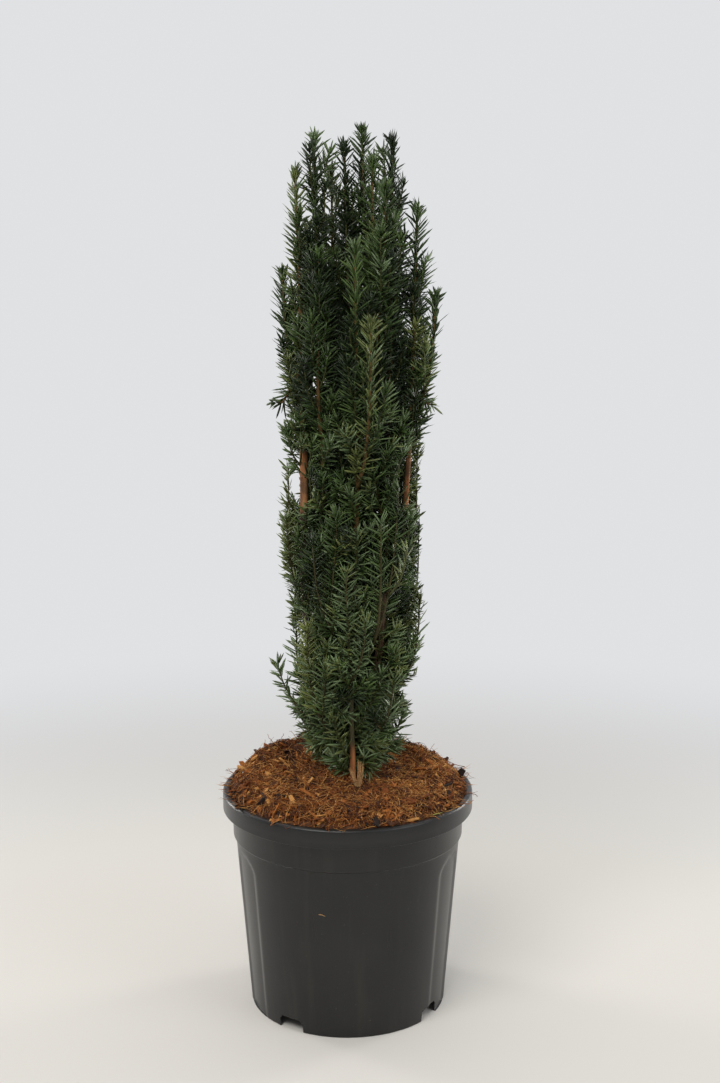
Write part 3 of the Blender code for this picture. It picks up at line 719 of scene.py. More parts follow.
class Limb:
    def __init__(self, path, radii, flare=0.0):
        self.path = path
        self.tip_way = directions(path)[-1]
        self.radii = []
        for index, point in enumerate(path):
            share = index / (len(path) - 1)
            radius = radii[0] + (radii[1] - radii[0]) * share
            above = (point.z - path[0].z) / TRUNK_FLARE_HEIGHT
            self.radii.append(radius + flare * max(1.0 - above, 0.0) ** 2)

    def at_height(self, height):
        for low, high in zip(self.path, self.path[1:]):
            if low.z <= height <= high.z:
                return low.lerp(high, (height - low.z) / (high.z - low.z))
        return self.path[-1].copy()


def plan_trunk():
    upright = Vector((0, 0, 1))
    path = curve(TRUNK_FOOT, TRUNK_TIP, heading(150, 6), upright, 0.035)
    path.insert(1, path[0].lerp(path[1], 0.4))
    return Limb(path, TRUNK_RADII, TRUNK_FLARE)


def plan_front_stem():
    upright = Vector((0, 0, 1))
    path = curve(FRONT_STEM_FOOT, FRONT_STEM_TIP, upright, heading(270, 3), 0.03)
    return Limb(path, FRONT_STEM_RADII)


def plan_bough(trunk, height, azimuth, tip, foot_radius, tip_radius):
    start = trunk.at_height(height)
    path = curve(start, Vector(tip), heading(azimuth, BOUGH_LEAN), heading(azimuth, 2), 0.055)
    return Limb(path, (foot_radius, tip_radius))


def bark_mesh(name, limb, look, node, sides, depth):
    """A limb with the bark's ridges, flakes and small knots standing out of it."""
    points, runs = smooth_path(limb.path, BARK_SPACING)
    old_runs = np.concatenate(([0], np.cumsum([
        (high - low).length for low, high in zip(limb.path, limb.path[1:])])))
    radii = np.interp(runs / runs[-1], old_runs / old_runs[-1], limb.radii)
    offset = Vector(limb.path[-1]) * 40

    def relief(places, turns):
        rows = np.zeros((len(places), len(turns)))
        for row, place in enumerate(places):
            for column, turn in enumerate(turns):
                spot = Vector((math.cos(turn) * 1.6, math.sin(turn) * 1.6, place[2] * 42))
                ridge = noise.noise(spot + offset)
                spot = Vector((math.cos(turn) * 3.4, math.sin(turn) * 3.4, place[2] * 150))
                rows[row, column] = ridge + 0.5 * noise.noise(spot + offset)
        return rows * depth

    shell = tube_points(points, radii, sides, relief)
    piece = add_piece(name, shell.tolist(), tube_faces(len(points), sides), look)
    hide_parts(node)


class Space:
    """Where every limb and shoot runs."""

    def __init__(self):
        self.points = np.zeros((0, 3))
        self.radii = np.zeros(0)
        self.owners = np.zeros(0, dtype=int)

    def add(self, path, radius, owner):
        fine = []
        for low, high in zip(path, path[1:]):
            count = max(1, math.ceil((high - low).length / SPINE_SAMPLE))
            fine += [low.lerp(high, part / count) for part in range(count)]
        fine.append(path[-1])
        self.points = np.vstack((self.points, np.array([tuple(point) for point in fine])))
        self.radii = np.append(self.radii, np.full(len(fine), radius))
        self.owners = np.append(self.owners, np.full(len(fine), owner))

    def distances(self, point):
        return np.linalg.norm(self.points - np.array(tuple(point)), axis=1)


def mix_height(x, y):
    """Height of the potting mix: a low uneven heap, a little higher towards the back left."""
    share = min(math.hypot(x, y) / MIX_REACH, 1.0)
    back = max(y - 0.4 * x, 0.0) / MIX_REACH
    heap = (MIX_HEAP + MIX_BACK_RISE * back) * (1.0 - share**MIX_SHOULDER)
    ripple = math.sin(61 * x + 1.3) * math.cos(53 * y - 0.4) + 0.6 * math.sin(117 * y + 83 * x)
    return POT_HEIGHT - MIX_EDGE_BELOW_RIM + heap + MIX_ROUGHNESS * ripple * (1.0 - share)


def crown_at(heights, outline=CROWN_OUTLINE):
    """Middle and half width of the crown at each height."""
    table = np.array(outline)
    left = np.interp(heights, table[:, 0], table[:, 1])
    right = np.interp(heights, table[:, 0], table[:, 2])
    return (left + right) / 2, (right - left) / 2


def outside_crown(points, outline=CROWN_OUTLINE, inset=0.0):
    """Whether each point is outside the crown's outline, an ellipse at each height."""
    middle, half = crown_at(points[:, 2], outline)
    half = half - inset
    across = (points[:, 0] - middle) / half
    deep = points[:, 1] / (half * CROWN_DEPTH_RATIO)
    return (np.hypot(across, deep) > 1.0) | (points[:, 2] > outline[-1][0])


def inside_crown(point, inset=0.0):
    row = np.array([tuple(point)])
    if point.z < mix_height(point.x, point.y) + 0.003:
        return False
    return not outside_crown(row, inset=inset)[0]


class Shoot:
    def __init__(self, path, radius, rank):
        self.path = path
        self.radius = radius
        self.rank = rank
        self.bud = path[-1] + directions(path)[-1] * TIP_NEEDLE


class Mass:
    """A mass of foliage: its shoots all branch from one stem."""

    def __init__(self, name, number, start, leave, tops, radius, root_inside):
        self.name = name
        self.number = number
        self.root_inside = root_inside
        self.first_fork = 1
        self.shoots = []
        first = self.leader(start, leave, tops[0], radius)
        self.shoots.append(first)
        for order, top in enumerate(tops[1:]):
            fork = round(len(first.path) * (FORK_AT + FORK_STEP * order))
            fork = min(max(fork, self.first_fork), len(first.path) - 3)
            knee = first.path[fork]
            out = Vector(top) - knee
            away = math.degrees(math.atan2(out.y, out.x))
            lean = math.degrees(math.atan2(math.hypot(out.x, out.y), out.z)) + FORK_SWING
            self.shoots.append(self.leader(knee, heading(away, lean), top, STEM_RADIUS))

    def leader(self, start, leave, top, radius):
        end = Vector(top) - Vector((0, 0, TIP_NEEDLE))
        out = end - start
        azimuth = math.degrees(math.atan2(out.y, out.x))
        arrive = heading(azimuth, ERECT_LEAN)
        if not self.root_inside or self.shoots:
            return Shoot(curve(start, end, leave, arrive, WHORL_STEP), radius, 0)
        level = math.hypot(out.x, out.y)
        foot_azimuth = math.degrees(math.atan2(leave.y, leave.x))
        knee = start + heading(foot_azimuth, 90) * KNEE_OUT * level
        knee.z += min(KNEE_RISE * level, 0.6 * out.z)
        turn = heading(azimuth, KNEE_LEAN)
        path = curve(start, knee, leave, turn, WHORL_STEP)
        self.first_fork = len(path) - 1
        path += curve(knee, end, turn, arrive, WHORL_STEP)[1:]
        return Shoot(path, radius, 0)

    def register(self, space):
        for shoot in self.shoots:
            space.add(shoot.path + [shoot.bud], shoot.radius, self.number)

    def add_side_shoots(self, space, chance):
        """The side shoots that the solids have too."""
        turn = chance.uniform(0, 360)
        for leader in list(self.shoots):
            due = SHOOT_STEP * chance.uniform(0.5, 0.9)
            travelled = 0.0
            total = path_length(leader.path)
            for low, high in zip(leader.path, leader.path[1:]):
                travelled += (high - low).length
                if travelled < due or travelled > total - SHOOT_UP - TIP_NEEDLE:
                    continue
                due = travelled + SHOOT_STEP
                for _ in range(SHOOT_TRIES):
                    turn += GOLDEN_ANGLE
                    size = chance.uniform(*SHOOT_SIZES)
                    shoot = side_shoot(low, turn, SHOOT_OUT * size, SHOOT_UP * size)
                    if has_room(shoot, self.number, space, SPINE_SPACING, 0.8 * SHOOT_OUT):
                        reach = shoot.path[1:] + [shoot.bud]
                        space.add(reach, SHOOT_RADIUS, self.number)
                        self.shoots.append(shoot)
                        break


def side_shoot(foot, azimuth, out, up, rank=1, leave=SHOOT_LEAN, arrive=2 * ERECT_LEAN):
    end = foot + heading(azimuth, 90) * out + Vector((0, 0, up))
    path = curve(foot, end, heading(azimuth, leave), heading(azimuth, arrive), WHORL_STEP)
    return Shoot(path, SHOOT_RADIUS if rank == 1 else TWIG_RADIUS, rank)


def has_room(shoot, number, space, spacing, apart):
    inset = 0.0
    if shoot.rank == 2:
        inset = TOP_TWIG_INSET if shoot.bud.z > TOP_TWIGS_FROM else TWIG_INSET
    for point in shoot.path[1:] + [shoot.bud]:
        if not inside_crown(point, inset):
            return False
        away = space.distances(point) - space.radii
        others = space.owners != number
        if away[others].min() < spacing:
            return False
    own = space.owners == number
    return not own.any() or space.distances(shoot.path[-1])[own].min() > apart


class Tuft:
    """The finer twigs that stand straight on one limb."""

    def __init__(self, name, number):
        self.name = name
        self.number = number
        self.shoots = []


def seen_on_plane(points):
    """Where the eye sees each point on the plane y = 0, as x and z."""
    share = -EYE.y / (points[:, 1] - EYE.y)
    x = EYE.x + (points[:, 0] - EYE.x) * share
    z = EYE.z + (points[:, 2] - EYE.z) * share
    return x, z


def in_ellipse(x, z, place_x, place_z, half_x, half_z):
    return np.hypot((x - place_x) / half_x, (z - place_z) / half_z) < 1.0


def in_glimpse(shoot):
    """Whether a shoot would cross a glimpse of light that is open right through."""
    x, z = seen_on_plane(np.array([tuple(point) for point in shoot.path[1:] + [shoot.bud]]))
    return any(
        back > 0 and share > OPEN_SHARE and in_ellipse(x, z, *ellipse).any()
        for *ellipse, share, back in GLIMPSES
    )


def grow_twigs(owner, carriers, space, chance, kind, bare_top=0.0, foot=0.0,
               band=ANY_HEIGHT):
    """Finer twigs on each carrier within a band of heights, round a golden angle."""
    step, outs, ups, leave, arrives = kind
    turn = chance.uniform(0, 360)
    for carrier in carriers:
        points, runs = smooth_path(carrier, 0.004)
        due = foot + step * chance.uniform(0.3, 0.9)
        for point, run in zip(points, runs):
            if run < due or run > runs[-1] - bare_top or not band[0] < point[2] < band[1]:
                continue
            due = run + step
            for _ in range(TWIG_TRIES):
                turn += GOLDEN_ANGLE
                twig = side_shoot(
                    Vector(point), turn, chance.uniform(*outs), chance.uniform(*ups), 2,
                    leave, chance.uniform(*arrives),
                )
                margin = TOP_MARGIN if carrier[-1].z > UPPER_BAND[0] else LOWER_TOP_MARGIN
                if twig.bud.z > carrier[-1].z + margin or in_glimpse(twig):
                    continue
                if has_room(twig, owner.number, space, TWIG_ROOM, TWIG_APART):
                    space.add(twig.path[1:] + [twig.bud], TWIG_RADIUS, owner.number)
                    owner.shoots.append(twig)
                    break


def plan_masses(trunk, front_stem, boughs):
    carriers = dict(boughs)
    carriers["centre"] = trunk
    carriers["front_stem"] = front_stem
    masses = []
    for name, tops in TOP_MASSES.items():
        carrier = carriers[name]
        way = carrier.tip_way
        start = carrier.path[-1] + way * GAP
        radius = carrier.radii[-1] * 0.96
        masses.append(Mass("foliage_" + name, len(masses), start, way, tops, radius, False))
    for name, (height, azimuth, tops) in SIDE_MASSES.items():
        start = trunk.at_height(height)
        leave = heading(azimuth, SIDE_LEAN)
        masses.append(
            Mass("foliage_" + name, len(masses), start, leave, tops, STEM_RADIUS, True)
        )
    return masses


class Clearing:
    """What keeps needles away: limbs, glimpses of light and bare lengths of limb."""

    def __init__(self, limbs, boughs):
        rows = []
        for limb in limbs:
            points, runs = smooth_path(limb.path, 0.004)
            radii = np.interp(runs, np.linspace(0, runs[-1], len(limb.radii)), limb.radii)
            rows.append(np.column_stack((points, radii)))
        self.limbs = np.vstack(rows)
        self.bare = []
        for name, low, high, margin in BARE_VIEWS:
            limb = boughs[name]
            points, runs = smooth_path(limb.path, 0.004)
            keep = (points[:, 2] > low) & (points[:, 2] < high)
            x, z = seen_on_plane(points[keep])
            self.bare.append((x, z, points[keep][:, 1].max(), max(limb.radii[-2:]) + margin))

    def blocks(self, points, chance):
        blocked = np.zeros(len(points), dtype=bool)
        low, high = points.min(axis=0) - 0.01, points.max(axis=0) + 0.01
        near = ((self.limbs[:, :3] > low) & (self.limbs[:, :3] < high)).all(axis=1)
        if near.any():
            gaps = np.linalg.norm(points[:, None] - self.limbs[near][None, :, :3], axis=2)
            blocked |= (gaps - self.limbs[near][:, 3] < LIMB_ROOM).any(axis=1)
        x, z = seen_on_plane(points)
        for *ellipse, share, back in GLIMPSES:
            inside = in_ellipse(x, z, *ellipse) & (points[:, 1] < back)
            blocked |= inside & (chance.random(len(points)) < share)
        for line_x, line_z, depth, reach in self.bare:
            aside = np.abs(x - np.interp(z, line_z, line_x))
            level = (z > line_z.min()) & (z < line_z.max())
            blocked |= level & (aside < reach) & (points[:, 1] < depth)
        return blocked


def below_mix(points):
    floor = np.array([mix_height(x, y) for x, y in points[:, :2]])
    return points[:, 2] < floor + 0.001


def plan_needles(shoot, clearing, chance):
    """Base, direction, width axis, upper side, length and bend of each needle of a shoot."""
    path = shoot.path + [shoot.path[-1].lerp(shoot.bud, 0.35)]
    points, runs = smooth_path(path, 0.001)
    total = runs[-1]
    first = TWIG_BARE_FOOT if shoot.rank else LEADER_BARE_FOOT
    stations = []
    step = NEEDLE_STEPS[shoot.rank]
    place = first + chance.random() * 0.002
    head = shoot.rank == 0 and shoot.bud.z > HEAD_FROM
    while place < total:
        stations.append(place)
        near = max(1.0 - (total - place) / NEEDLE_TIP_ZONE, 0.0)
        if head and total - place < HEAD_ZONE:
            place += HEAD_STEP
        elif head and total - place < COLUMN_ZONE:
            place += COLUMN_STEP
        else:
            place += step + (NEEDLE_STEP_AT_TIP - step) * near
    at = np.array(stations)
    count = len(at)
    if not count:
        return None
    ways, across, up = frames(points)
    index = np.clip(np.searchsorted(runs, at), 0, len(points) - 1)
    base, way = points[index], ways[index]
    turn = np.radians(chance.random() * 360 + GOLDEN_ANGLE * np.arange(count)
                      + chance.normal(0, 9, count))
    out = np.cos(turn)[:, None] * across[index] + np.sin(turn)[:, None] * up[index]
    near = np.clip(1.0 - (total - at) / NEEDLE_TIP_ZONE, 0, 1)
    tip_lean = chance.uniform(*NEEDLE_ANGLES_AT_TIP, count)
    lean = np.radians(NEEDLE_ANGLE + (tip_lean - NEEDLE_ANGLE) * near**1.3
                      + chance.normal(0, 6, count))
    length = NEEDLE_LENGTH * chance.uniform(0.84, 1.10, count) * (1.0 - 0.30 * near)
    if head:
        close = total - at < COLUMN_ZONE
        short = close & (chance.random(count) < COLUMN_SHARE)
        top = total - at < HEAD_ZONE
        lean[close] = np.radians(chance.normal(COLUMN_LEAN, 5, close.sum()))
        lean[short] = np.radians(chance.uniform(*COLUMN_ANGLES, short.sum()))
        lean[top] = np.radians(chance.uniform(*HEAD_ANGLES, top.sum()))
        length[close] = NEEDLE_LENGTH * chance.uniform(0.84, 1.08, close.sum())
        length[short] = NEEDLE_LENGTH * chance.uniform(*COLUMN_LENGTHS, short.sum())
        length[top] = NEEDLE_LENGTH * chance.uniform(*HEAD_LENGTHS, top.sum())
    direction = unit(out * np.sin(lean)[:, None] + way * np.cos(lean)[:, None])
    side = unit(np.cross(way, out))
    upper = np.cross(direction, side)
    roll = np.radians(chance.normal(0, NEEDLE_ROLL, count))
    width = side * np.cos(roll)[:, None] + upper * np.sin(roll)[:, None]
    upper = np.cross(direction, width)
    foot = np.clip((at - first) / 0.02, 0, 1)
    length *= 0.72 + 0.28 * foot
    keep = np.zeros(count, dtype=bool)
    spill = chance.normal(0.0, NEEDLE_SPILL, count)
    for short in NEEDLE_CUTS:
        tips = base + direction * (length * short)[:, None]
        middles = base + direction * (length * short * 0.55)[:, None]
        bad = outside_crown(tips, NEEDLE_OUTLINE, -spill) | below_mix(tips)
        bad |= clearing.blocks(tips, chance) | clearing.blocks(middles, chance)
        good = ~bad & ~keep
        length[good] *= short
        keep |= good
    bend = chance.normal(0.02, 0.06, count)
    half = NEEDLE_HALF_WIDTH * chance.uniform(0.86, 1.14, count)
    rows = np.column_stack((base, direction, width, upper, length, bend, half))
    return rows[keep]


def needle_mesh(rows):
    """Points and faces of closed flat needles: rings of three corners and a tip."""
    base, direction, width, upper = rows[:, 0:3], rows[:, 3:6], rows[:, 6:9], rows[:, 9:12]
    length, bend, half = rows[:, 12], rows[:, 13], rows[:, 14]
    corners = []
    for share, wide, thick in NEEDLE_RINGS:
        middle = base + direction * (length * share)[:, None]
        middle = middle + upper * (length * bend * share**2)[:, None]
        aside = width * (half * wide)[:, None]
        above = upper * (NEEDLE_THICK * thick)
        corners += [middle + aside, middle + above, middle - aside]
    corners.append(base + direction * length[:, None] + upper * (length * bend)[:, None])
    points = np.stack(corners, axis=1).reshape(-1, 3)
    tip = 3 * len(NEEDLE_RINGS)
    quads = []
    for low in range(0, tip - 3, 3):
        for side in range(3):
            after = (side + 1) % 3
            quads.append((low + side, low + after, low + 3 + after, low + 3 + side))
    ends = [(2, 1, 0)]
    ends += [(tip - 3 + side, tip - 3 + (side + 1) % 3, tip) for side in range(3)]
    starts = np.arange(len(rows)) * (tip + 1)
    faces = (starts[:, None, None] + np.array(quads)[None]).reshape(-1, 4).tolist()
    faces += (starts[:, None, None] + np.array(ends)[None]).reshape(-1, 3).tolist()
    return points.tolist(), faces


NEEDLE_COLOURS = {
    "deep": ((0.018, 0.033, 0.009), 0.46),
    "dark": ((0.046, 0.081, 0.020), 0.44),
    "middle": ((0.083, 0.132, 0.035), 0.42),
    "cool": ((0.154, 0.216, 0.098), 0.42),
    "olive": ((0.138, 0.168, 0.050), 0.44),
    "young": ((0.188, 0.220, 0.062), 0.46),
}


STEM_TINTS = (
    ("old", (0.135, 0.080, 0.028)),
    ("low", (0.062, 0.052, 0.020)),
    ("green", (0.062, 0.068, 0.020)),
)


# Shares of the colours, darkest first, for sprays low, half way up and at the top, for those
# at the sunny right edge, and for those deep inside, whose darker greens are painted shade
COLOUR_HEIGHTS = (0.560, 0.760)
COLOUR_SHARES = (
    (0.04, 0.13, 0.20, 0.47, 0.12, 0.04),
    (0.14, 0.27, 0.31, 0.18, 0.08, 0.02),
    (0.24, 0.40, 0.26, 0.02, 0.08, 0.00),
)
SUNNY_SHARES = (0.10, 0.24, 0.30, 0.13, 0.16, 0.07)
INNER_PAINTED_SHADE_SHARES = (0.60, 0.30, 0.10, 0.00, 0.00, 0.00)
INNER_DEPTHS = (0.46, 0.62, 0.66)
LIGHT_MASSES = {"foliage_mid_left": "olive"}
SUNNY_FROM = 0.06
SUNNY_BAND = (0.45, 0.92)
INNER_BELOW = 0.95
TIP_LIGHTER = 0.45
TIP_REACH = 0.010
DARKER_SHARE = 0.18


def crown_share(point):
    """How far from the crown's middle a point is, from 0 to 1 at the outline."""
    middle, half = crown_at(point.z)
    return math.hypot((point.x - middle) / half, point.y / half)


def spray_colour(shoot, chance):
    """Colour of one spray, by its height, its side and how deep it is in the crown; the deep
    ones get darker greens as painted shade.
    """
    tip = shoot.bud
    level = sum(tip.z > height for height in COLOUR_HEIGHTS)
    shares = COLOUR_SHARES[level]
    if tip.x > SUNNY_FROM and SUNNY_BAND[0] < tip.z < SUNNY_BAND[1]:
        shares = SUNNY_SHARES
    # Sprays deep inside the crown get the darkest greens: painted shade
    if crown_share(tip) < INNER_DEPTHS[level] and tip.z < INNER_BELOW:
        shares = INNER_PAINTED_SHADE_SHARES
    return list(NEEDLE_COLOURS)[int(chance.choice(len(shares), p=shares))]


def stem_kind(shoot):
    if shoot.rank:
        return "green"
    return "low" if shoot.bud.z < UPPER_BAND[0] else "old"


def stem_shell(shoot, kind):
    """Points and faces of the thin stem under a shoot's needles."""
    points, runs = smooth_path(shoot.path, 0.008)
    foot, tip = TWIG_RADII if shoot.rank else (shoot.radius, LEADER_TIP_RADIUS)
    radii = foot + (tip - foot) * (runs / runs[-1])
    if kind == "low":
        radii = radii * LOW_LEADER_SHARE
    sides = 5 if shoot.rank else 7
    return tube_points(points, radii, sides), tube_faces(len(points), sides)


def plan_foliage(owners, clearing):
    """Rows of needles by colour, and the stems by kind."""
    found = {colour: [] for colour in NEEDLE_COLOURS}
    stems = {kind: Batch() for kind, _ in STEM_TINTS}
    names = list(NEEDLE_COLOURS)
    for owner in owners:
        chance = np.random.default_rng(SEED + owner.number)
        for shoot in owner.shoots:
            rows = plan_needles(shoot, clearing, chance)
            colour = LIGHT_MASSES.get(owner.name) or spray_colour(shoot, chance)
            if rows is not None and len(rows):
                rank = names.index(colour)
                end = np.linalg.norm(rows[:, :3] - np.array(shoot.path[-1]), axis=1) < TIP_REACH
                lighter = end & (chance.random(len(rows)) < TIP_LIGHTER) & (0 < rank < 4)
                darker = ~lighter & (chance.random(len(rows)) < DARKER_SHARE)
                found[colour].append(rows[~darker & ~lighter])
                found[names[max(rank - 1, 0)]].append(rows[darker])
                found[names[min(rank + 1, 5)]].append(rows[lighter])
            kind = stem_kind(shoot)
            stems[kind].add(*stem_shell(shoot, kind))
    return found, stems


def make_foliage(masses, tufts, clearing):
    found, stems = plan_foliage(masses + tufts, clearing)
    nodes = [mass.name for mass in masses]
    for colour, (tint, roughness) in NEEDLE_COLOURS.items():
        look = needle_look("needles_" + colour + "_look", tint, roughness)
        rows = np.vstack(found[colour])
        parts = math.ceil(len(rows) / NEEDLES_A_PIECE)
        for part, share in enumerate(np.array_split(rows, parts)):
            points, faces = needle_mesh(share)
            name = "needles_" + colour + "_" + str(part + 1)
            piece = add_piece(name, points, faces, look)
            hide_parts(*nodes)
    for kind, tint in STEM_TINTS:
        look = stem_look("twigs_" + kind + "_look", tint)
        piece = stems[kind].piece("twigs_" + kind, look, "needles")
        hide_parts(*nodes)


def body_radius(height):
    share = height / POT_BAND_BOTTOM
    return POT_FOOT_RADIUS + (POT_BODY_RADIUS - POT_FOOT_RADIUS) * share


def panel_share(azimuth, height):
    """How far into a recessed panel a spot of the body is, from 0 to 1."""
    best = 0.0
    for middle in PANEL_AZIMUTHS:
        away = abs((azimuth - middle + 180) % 360 - 180)
        inside = (PANEL_HALF_TURN - away) / PANEL_EDGE_TURN
        over = height - (PANEL_TOP - PANEL_CORNER)
        if over > 0:
            wide = PANEL_HALF_TURN * math.sqrt(max(1 - (over / PANEL_CORNER) ** 2, 0))
            inside = min(inside, (wide - away) / PANEL_EDGE_TURN)
        best = max(best, min(max(inside, 0.0), 1.0))
    return best * best * (3 - 2 * best)


def rounded(corner, before, after, size, steps=4):
    """Points that round off one corner of a profile."""
    corner, before, after = Vector(corner), Vector(before), Vector(after)
    start = corner + (before - corner).normalized() * size
    end = corner + (after - corner).normalized() * size
    points = []
    for step in range(steps + 1):
        t = step / steps
        points.append(tuple(start * (1 - t) ** 2 + corner * 2 * t * (1 - t) + end * t**2))
    return points


def pot_profile():
    rim_bottom = POT_HEIGHT - POT_RIM_DEPTH
    rim_inner = POT_RIM_RADIUS - POT_RIM_WIDTH
    skirt_inner = POT_RIM_RADIUS - POT_WALL + 0.0005
    wall_top = POT_HEIGHT - 0.0045
    inner_foot = POT_FOOT_RADIUS - POT_FOOT_WIDTH
    plain = [
        (0.0, POT_FLOOR_UNDERSIDE),
        (inner_foot - 0.0005, POT_FLOOR_UNDERSIDE),
        (inner_foot, 0.0),
        (POT_FOOT_RADIUS, 0.0),
        (POT_BODY_RADIUS, POT_BAND_BOTTOM),
        (POT_BAND_RADIUS, POT_BAND_BOTTOM + 0.002),
        (POT_BAND_RADIUS + 0.001, rim_bottom),
        (rim_inner + POT_WALL, wall_top),
        (skirt_inner, wall_top),
        (skirt_inner, rim_bottom),
        (POT_RIM_RADIUS, rim_bottom + 0.0002),
        (POT_RIM_RADIUS, POT_HEIGHT),
        (rim_inner, POT_HEIGHT),
        (rim_inner, POT_HEIGHT - POT_RIM_DEPTH + POT_RIM_WIDTH),
        (POT_BAND_RADIUS - POT_WALL + 0.001, rim_bottom),
        (POT_BAND_RADIUS - POT_WALL, POT_BAND_BOTTOM + POT_WALL),
        (POT_BODY_RADIUS - POT_WALL, POT_BAND_BOTTOM),
        (body_radius(POT_FLOOR_TOP) - POT_WALL, POT_FLOOR_TOP),
        (0.0, POT_FLOOR_TOP),
    ]
    rounds = {3: 0.0015, 4: 0.001, 5: 0.001, 10: 0.0008, 11: POT_RIM_ROUND, 12: POT_RIM_ROUND}
    points = []
    for index, corner in enumerate(plain):
        if index in rounds:
            points += rounded(corner, plain[index - 1], plain[index + 1], rounds[index])
        else:
            points.append(corner)
        if index == 3:
            rows = [0.004 + step * 0.004 for step in range(53)]
            points += [(body_radius(height), height) for height in rows]
    return points


def make_pot(look):
    profile = pot_profile()
    points = [(0.0, 0.0, profile[0][1])]
    faces = []
    for radius, height in profile[1:-1]:
        for segment in range(POT_SEGMENTS):
            azimuth = 360.0 * segment / POT_SEGMENTS
            here = radius
            if abs(radius - body_radius(height)) < 0.0003 and height < POT_BAND_BOTTOM:
                here -= PANEL_DEPTH * panel_share(azimuth, height)
            turn = math.radians(azimuth)
            points.append((here * math.cos(turn), here * math.sin(turn), height))
    points.append((0.0, 0.0, profile[-1][1]))
    rings = len(profile) - 2
    for segment in range(POT_SEGMENTS):
        after = (segment + 1) % POT_SEGMENTS
        faces.append((0, 1 + after, 1 + segment))
        for ring in range(rings - 1):
            low = 1 + ring * POT_SEGMENTS
            high = low + POT_SEGMENTS
            faces.append((low + segment, low + after, high + after, high + segment))
        last = 1 + (rings - 1) * POT_SEGMENTS
        faces.append((last + segment, last + after, len(points) - 1))
    pot = add_piece("nursery_pot", points, faces, look)
    for azimuth in NOTCH_AZIMUTHS:
        bm = bmesh.new()
        bmesh.ops.create_cube(bm, size=1.0)
        bmesh.ops.scale(bm, verts=bm.verts, vec=(NOTCH_REACH, NOTCH_WIDTH, 2 * NOTCH_HEIGHT))
        upright = [edge for edge in bm.edges
                   if abs(edge.verts[0].co.x - edge.verts[1].co.x) > 0.01]
        bmesh.ops.bevel(bm, geom=upright, offset=0.003, segments=3, affect="EDGES")
        mesh = bpy.data.meshes.new("notch")
        bm.to_mesh(mesh)
        bm.free()
        cutter = bpy.data.objects.new("notch", mesh)
        bpy.context.scene.collection.objects.link(cutter)
        cutter.location = heading(azimuth, 90) * POT_FOOT_RADIUS
        cutter.rotation_euler.z = math.radians(azimuth)
        step = pot.modifiers.new("Notch", "BOOLEAN")
        step.operation = "DIFFERENCE"
        step.object = cutter
        step.solver = "EXACT"
        evaluated = pot.evaluated_get(bpy.context.evaluated_depsgraph_get())
        cut = bpy.data.meshes.new_from_object(evaluated)
        pot.modifiers.clear()
        pot.data = cut
        bpy.data.objects.remove(cutter, do_unlink=True)
    pot.data.materials.clear()
    pot.data.materials.append(look)
    pot.data.shade_smooth()
    pot.data.set_sharp_from_angle(angle=math.radians(38))
    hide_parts("pot")


def bed_height(x, y):
    """The heap's height, with lumps and a ragged crest along the back edge."""
    lump = noise.fractal(Vector((x, y, 0.0)) * 62, 0.8, 2.1, 4)
    share = min(math.hypot(x, y) / MIX_REACH, 1.0)
    crest = max(min((y + 0.02) / 0.07, 1.0), 0.0) * max(1.0 - abs(share - 0.80) / 0.24, 0.0)
    ragged = 0.7 + 0.6 * noise.noise(Vector((x, y, 0.7)) * 38)
    turn = (math.degrees(math.atan2(y, x)) - MOUND_AZIMUTH + 180) % 360 - 180
    mound = max(1.0 - abs(turn) / 30, 0.0) * max(1.0 - abs(share - 0.86) / 0.16, 0.0)
    height = mix_height(x, y) + MIX_LUMP * lump + MIX_EDGE_RISE * share**8
    foot = max(1.0 - math.hypot(x - FOOT_MOUND[0], y - FOOT_MOUND[1]) / FOOT_MOUND[2], 0.0)
    height += FOOT_MOUND[3] * foot * foot * (3 - 2 * foot)
    return height + MIX_CREST * crest * ragged + MOUND_HEIGHT * mound * ragged


def make_bed(look):
    """The heap itself, under the loose chips and fibres."""
    points = [(0.0, 0.0, bed_height(0, 0))]
    for ring in range(1, BED_RINGS + 1):
        radius = (MIX_REACH - 0.0006) * (ring / BED_RINGS) ** 0.9
        points += [(x, y, bed_height(x, y)) for x, y in circle(radius, BED_SIDES)]
    skirt = POT_HEIGHT - BED_SKIRT_DEPTH
    points += [(x, y, skirt) for x, y in circle(BED_SKIRT_RADIUS, BED_SIDES)]
    points.append((0.0, 0.0, skirt))
    faces = disc_faces(BED_RINGS + 1, BED_SIDES)
    last = 1 + BED_RINGS * BED_SIDES
    for side in range(BED_SIDES):
        faces.append((last + side, len(points) - 1, last + (side + 1) % BED_SIDES))
    piece = add_piece("mulch_bed", points, faces, look)
    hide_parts("potting_mix")


MULCH_COLOURS = {
    "orange": (0.385, 0.126, 0.021),
    "rust": (0.195, 0.055, 0.010),
    "golden": (0.640, 0.310, 0.085),
    "brown": (0.072, 0.022, 0.006),
    "dark": (0.017, 0.007, 0.004),
}
CHIP_SHARES = (0.30, 0.28, 0.11, 0.23, 0.08)
FIBRE_SHARES = (0.37, 0.17, 0.28, 0.14, 0.04)
RIGHT_FIBRE_SHARES = (0.24, 0.08, 0.54, 0.11, 0.03)
DARK_FIBRE_SHARES = (0.18, 0.26, 0.06, 0.38, 0.12)


def fibre_shares(spot):
    """Fibre colours at a spot: dark in patches and at the back left, golden at the right."""
    x, y = spot
    if (x < -0.050 and y > 0.030) or noise.noise(Vector((x, y, 3.1)) * 46) > 0.24:
        return DARK_FIBRE_SHARES
    return RIGHT_FIBRE_SHARES if x > 0.060 else FIBRE_SHARES


def mulch_spot(chance):
    """A chance place on the heap, as x and y."""
    reach = MIX_REACH - 0.004
    while True:
        x, y = chance.uniform(-reach, reach), chance.uniform(-reach, reach)
        if math.hypot(x, y) < reach:
            return x, y


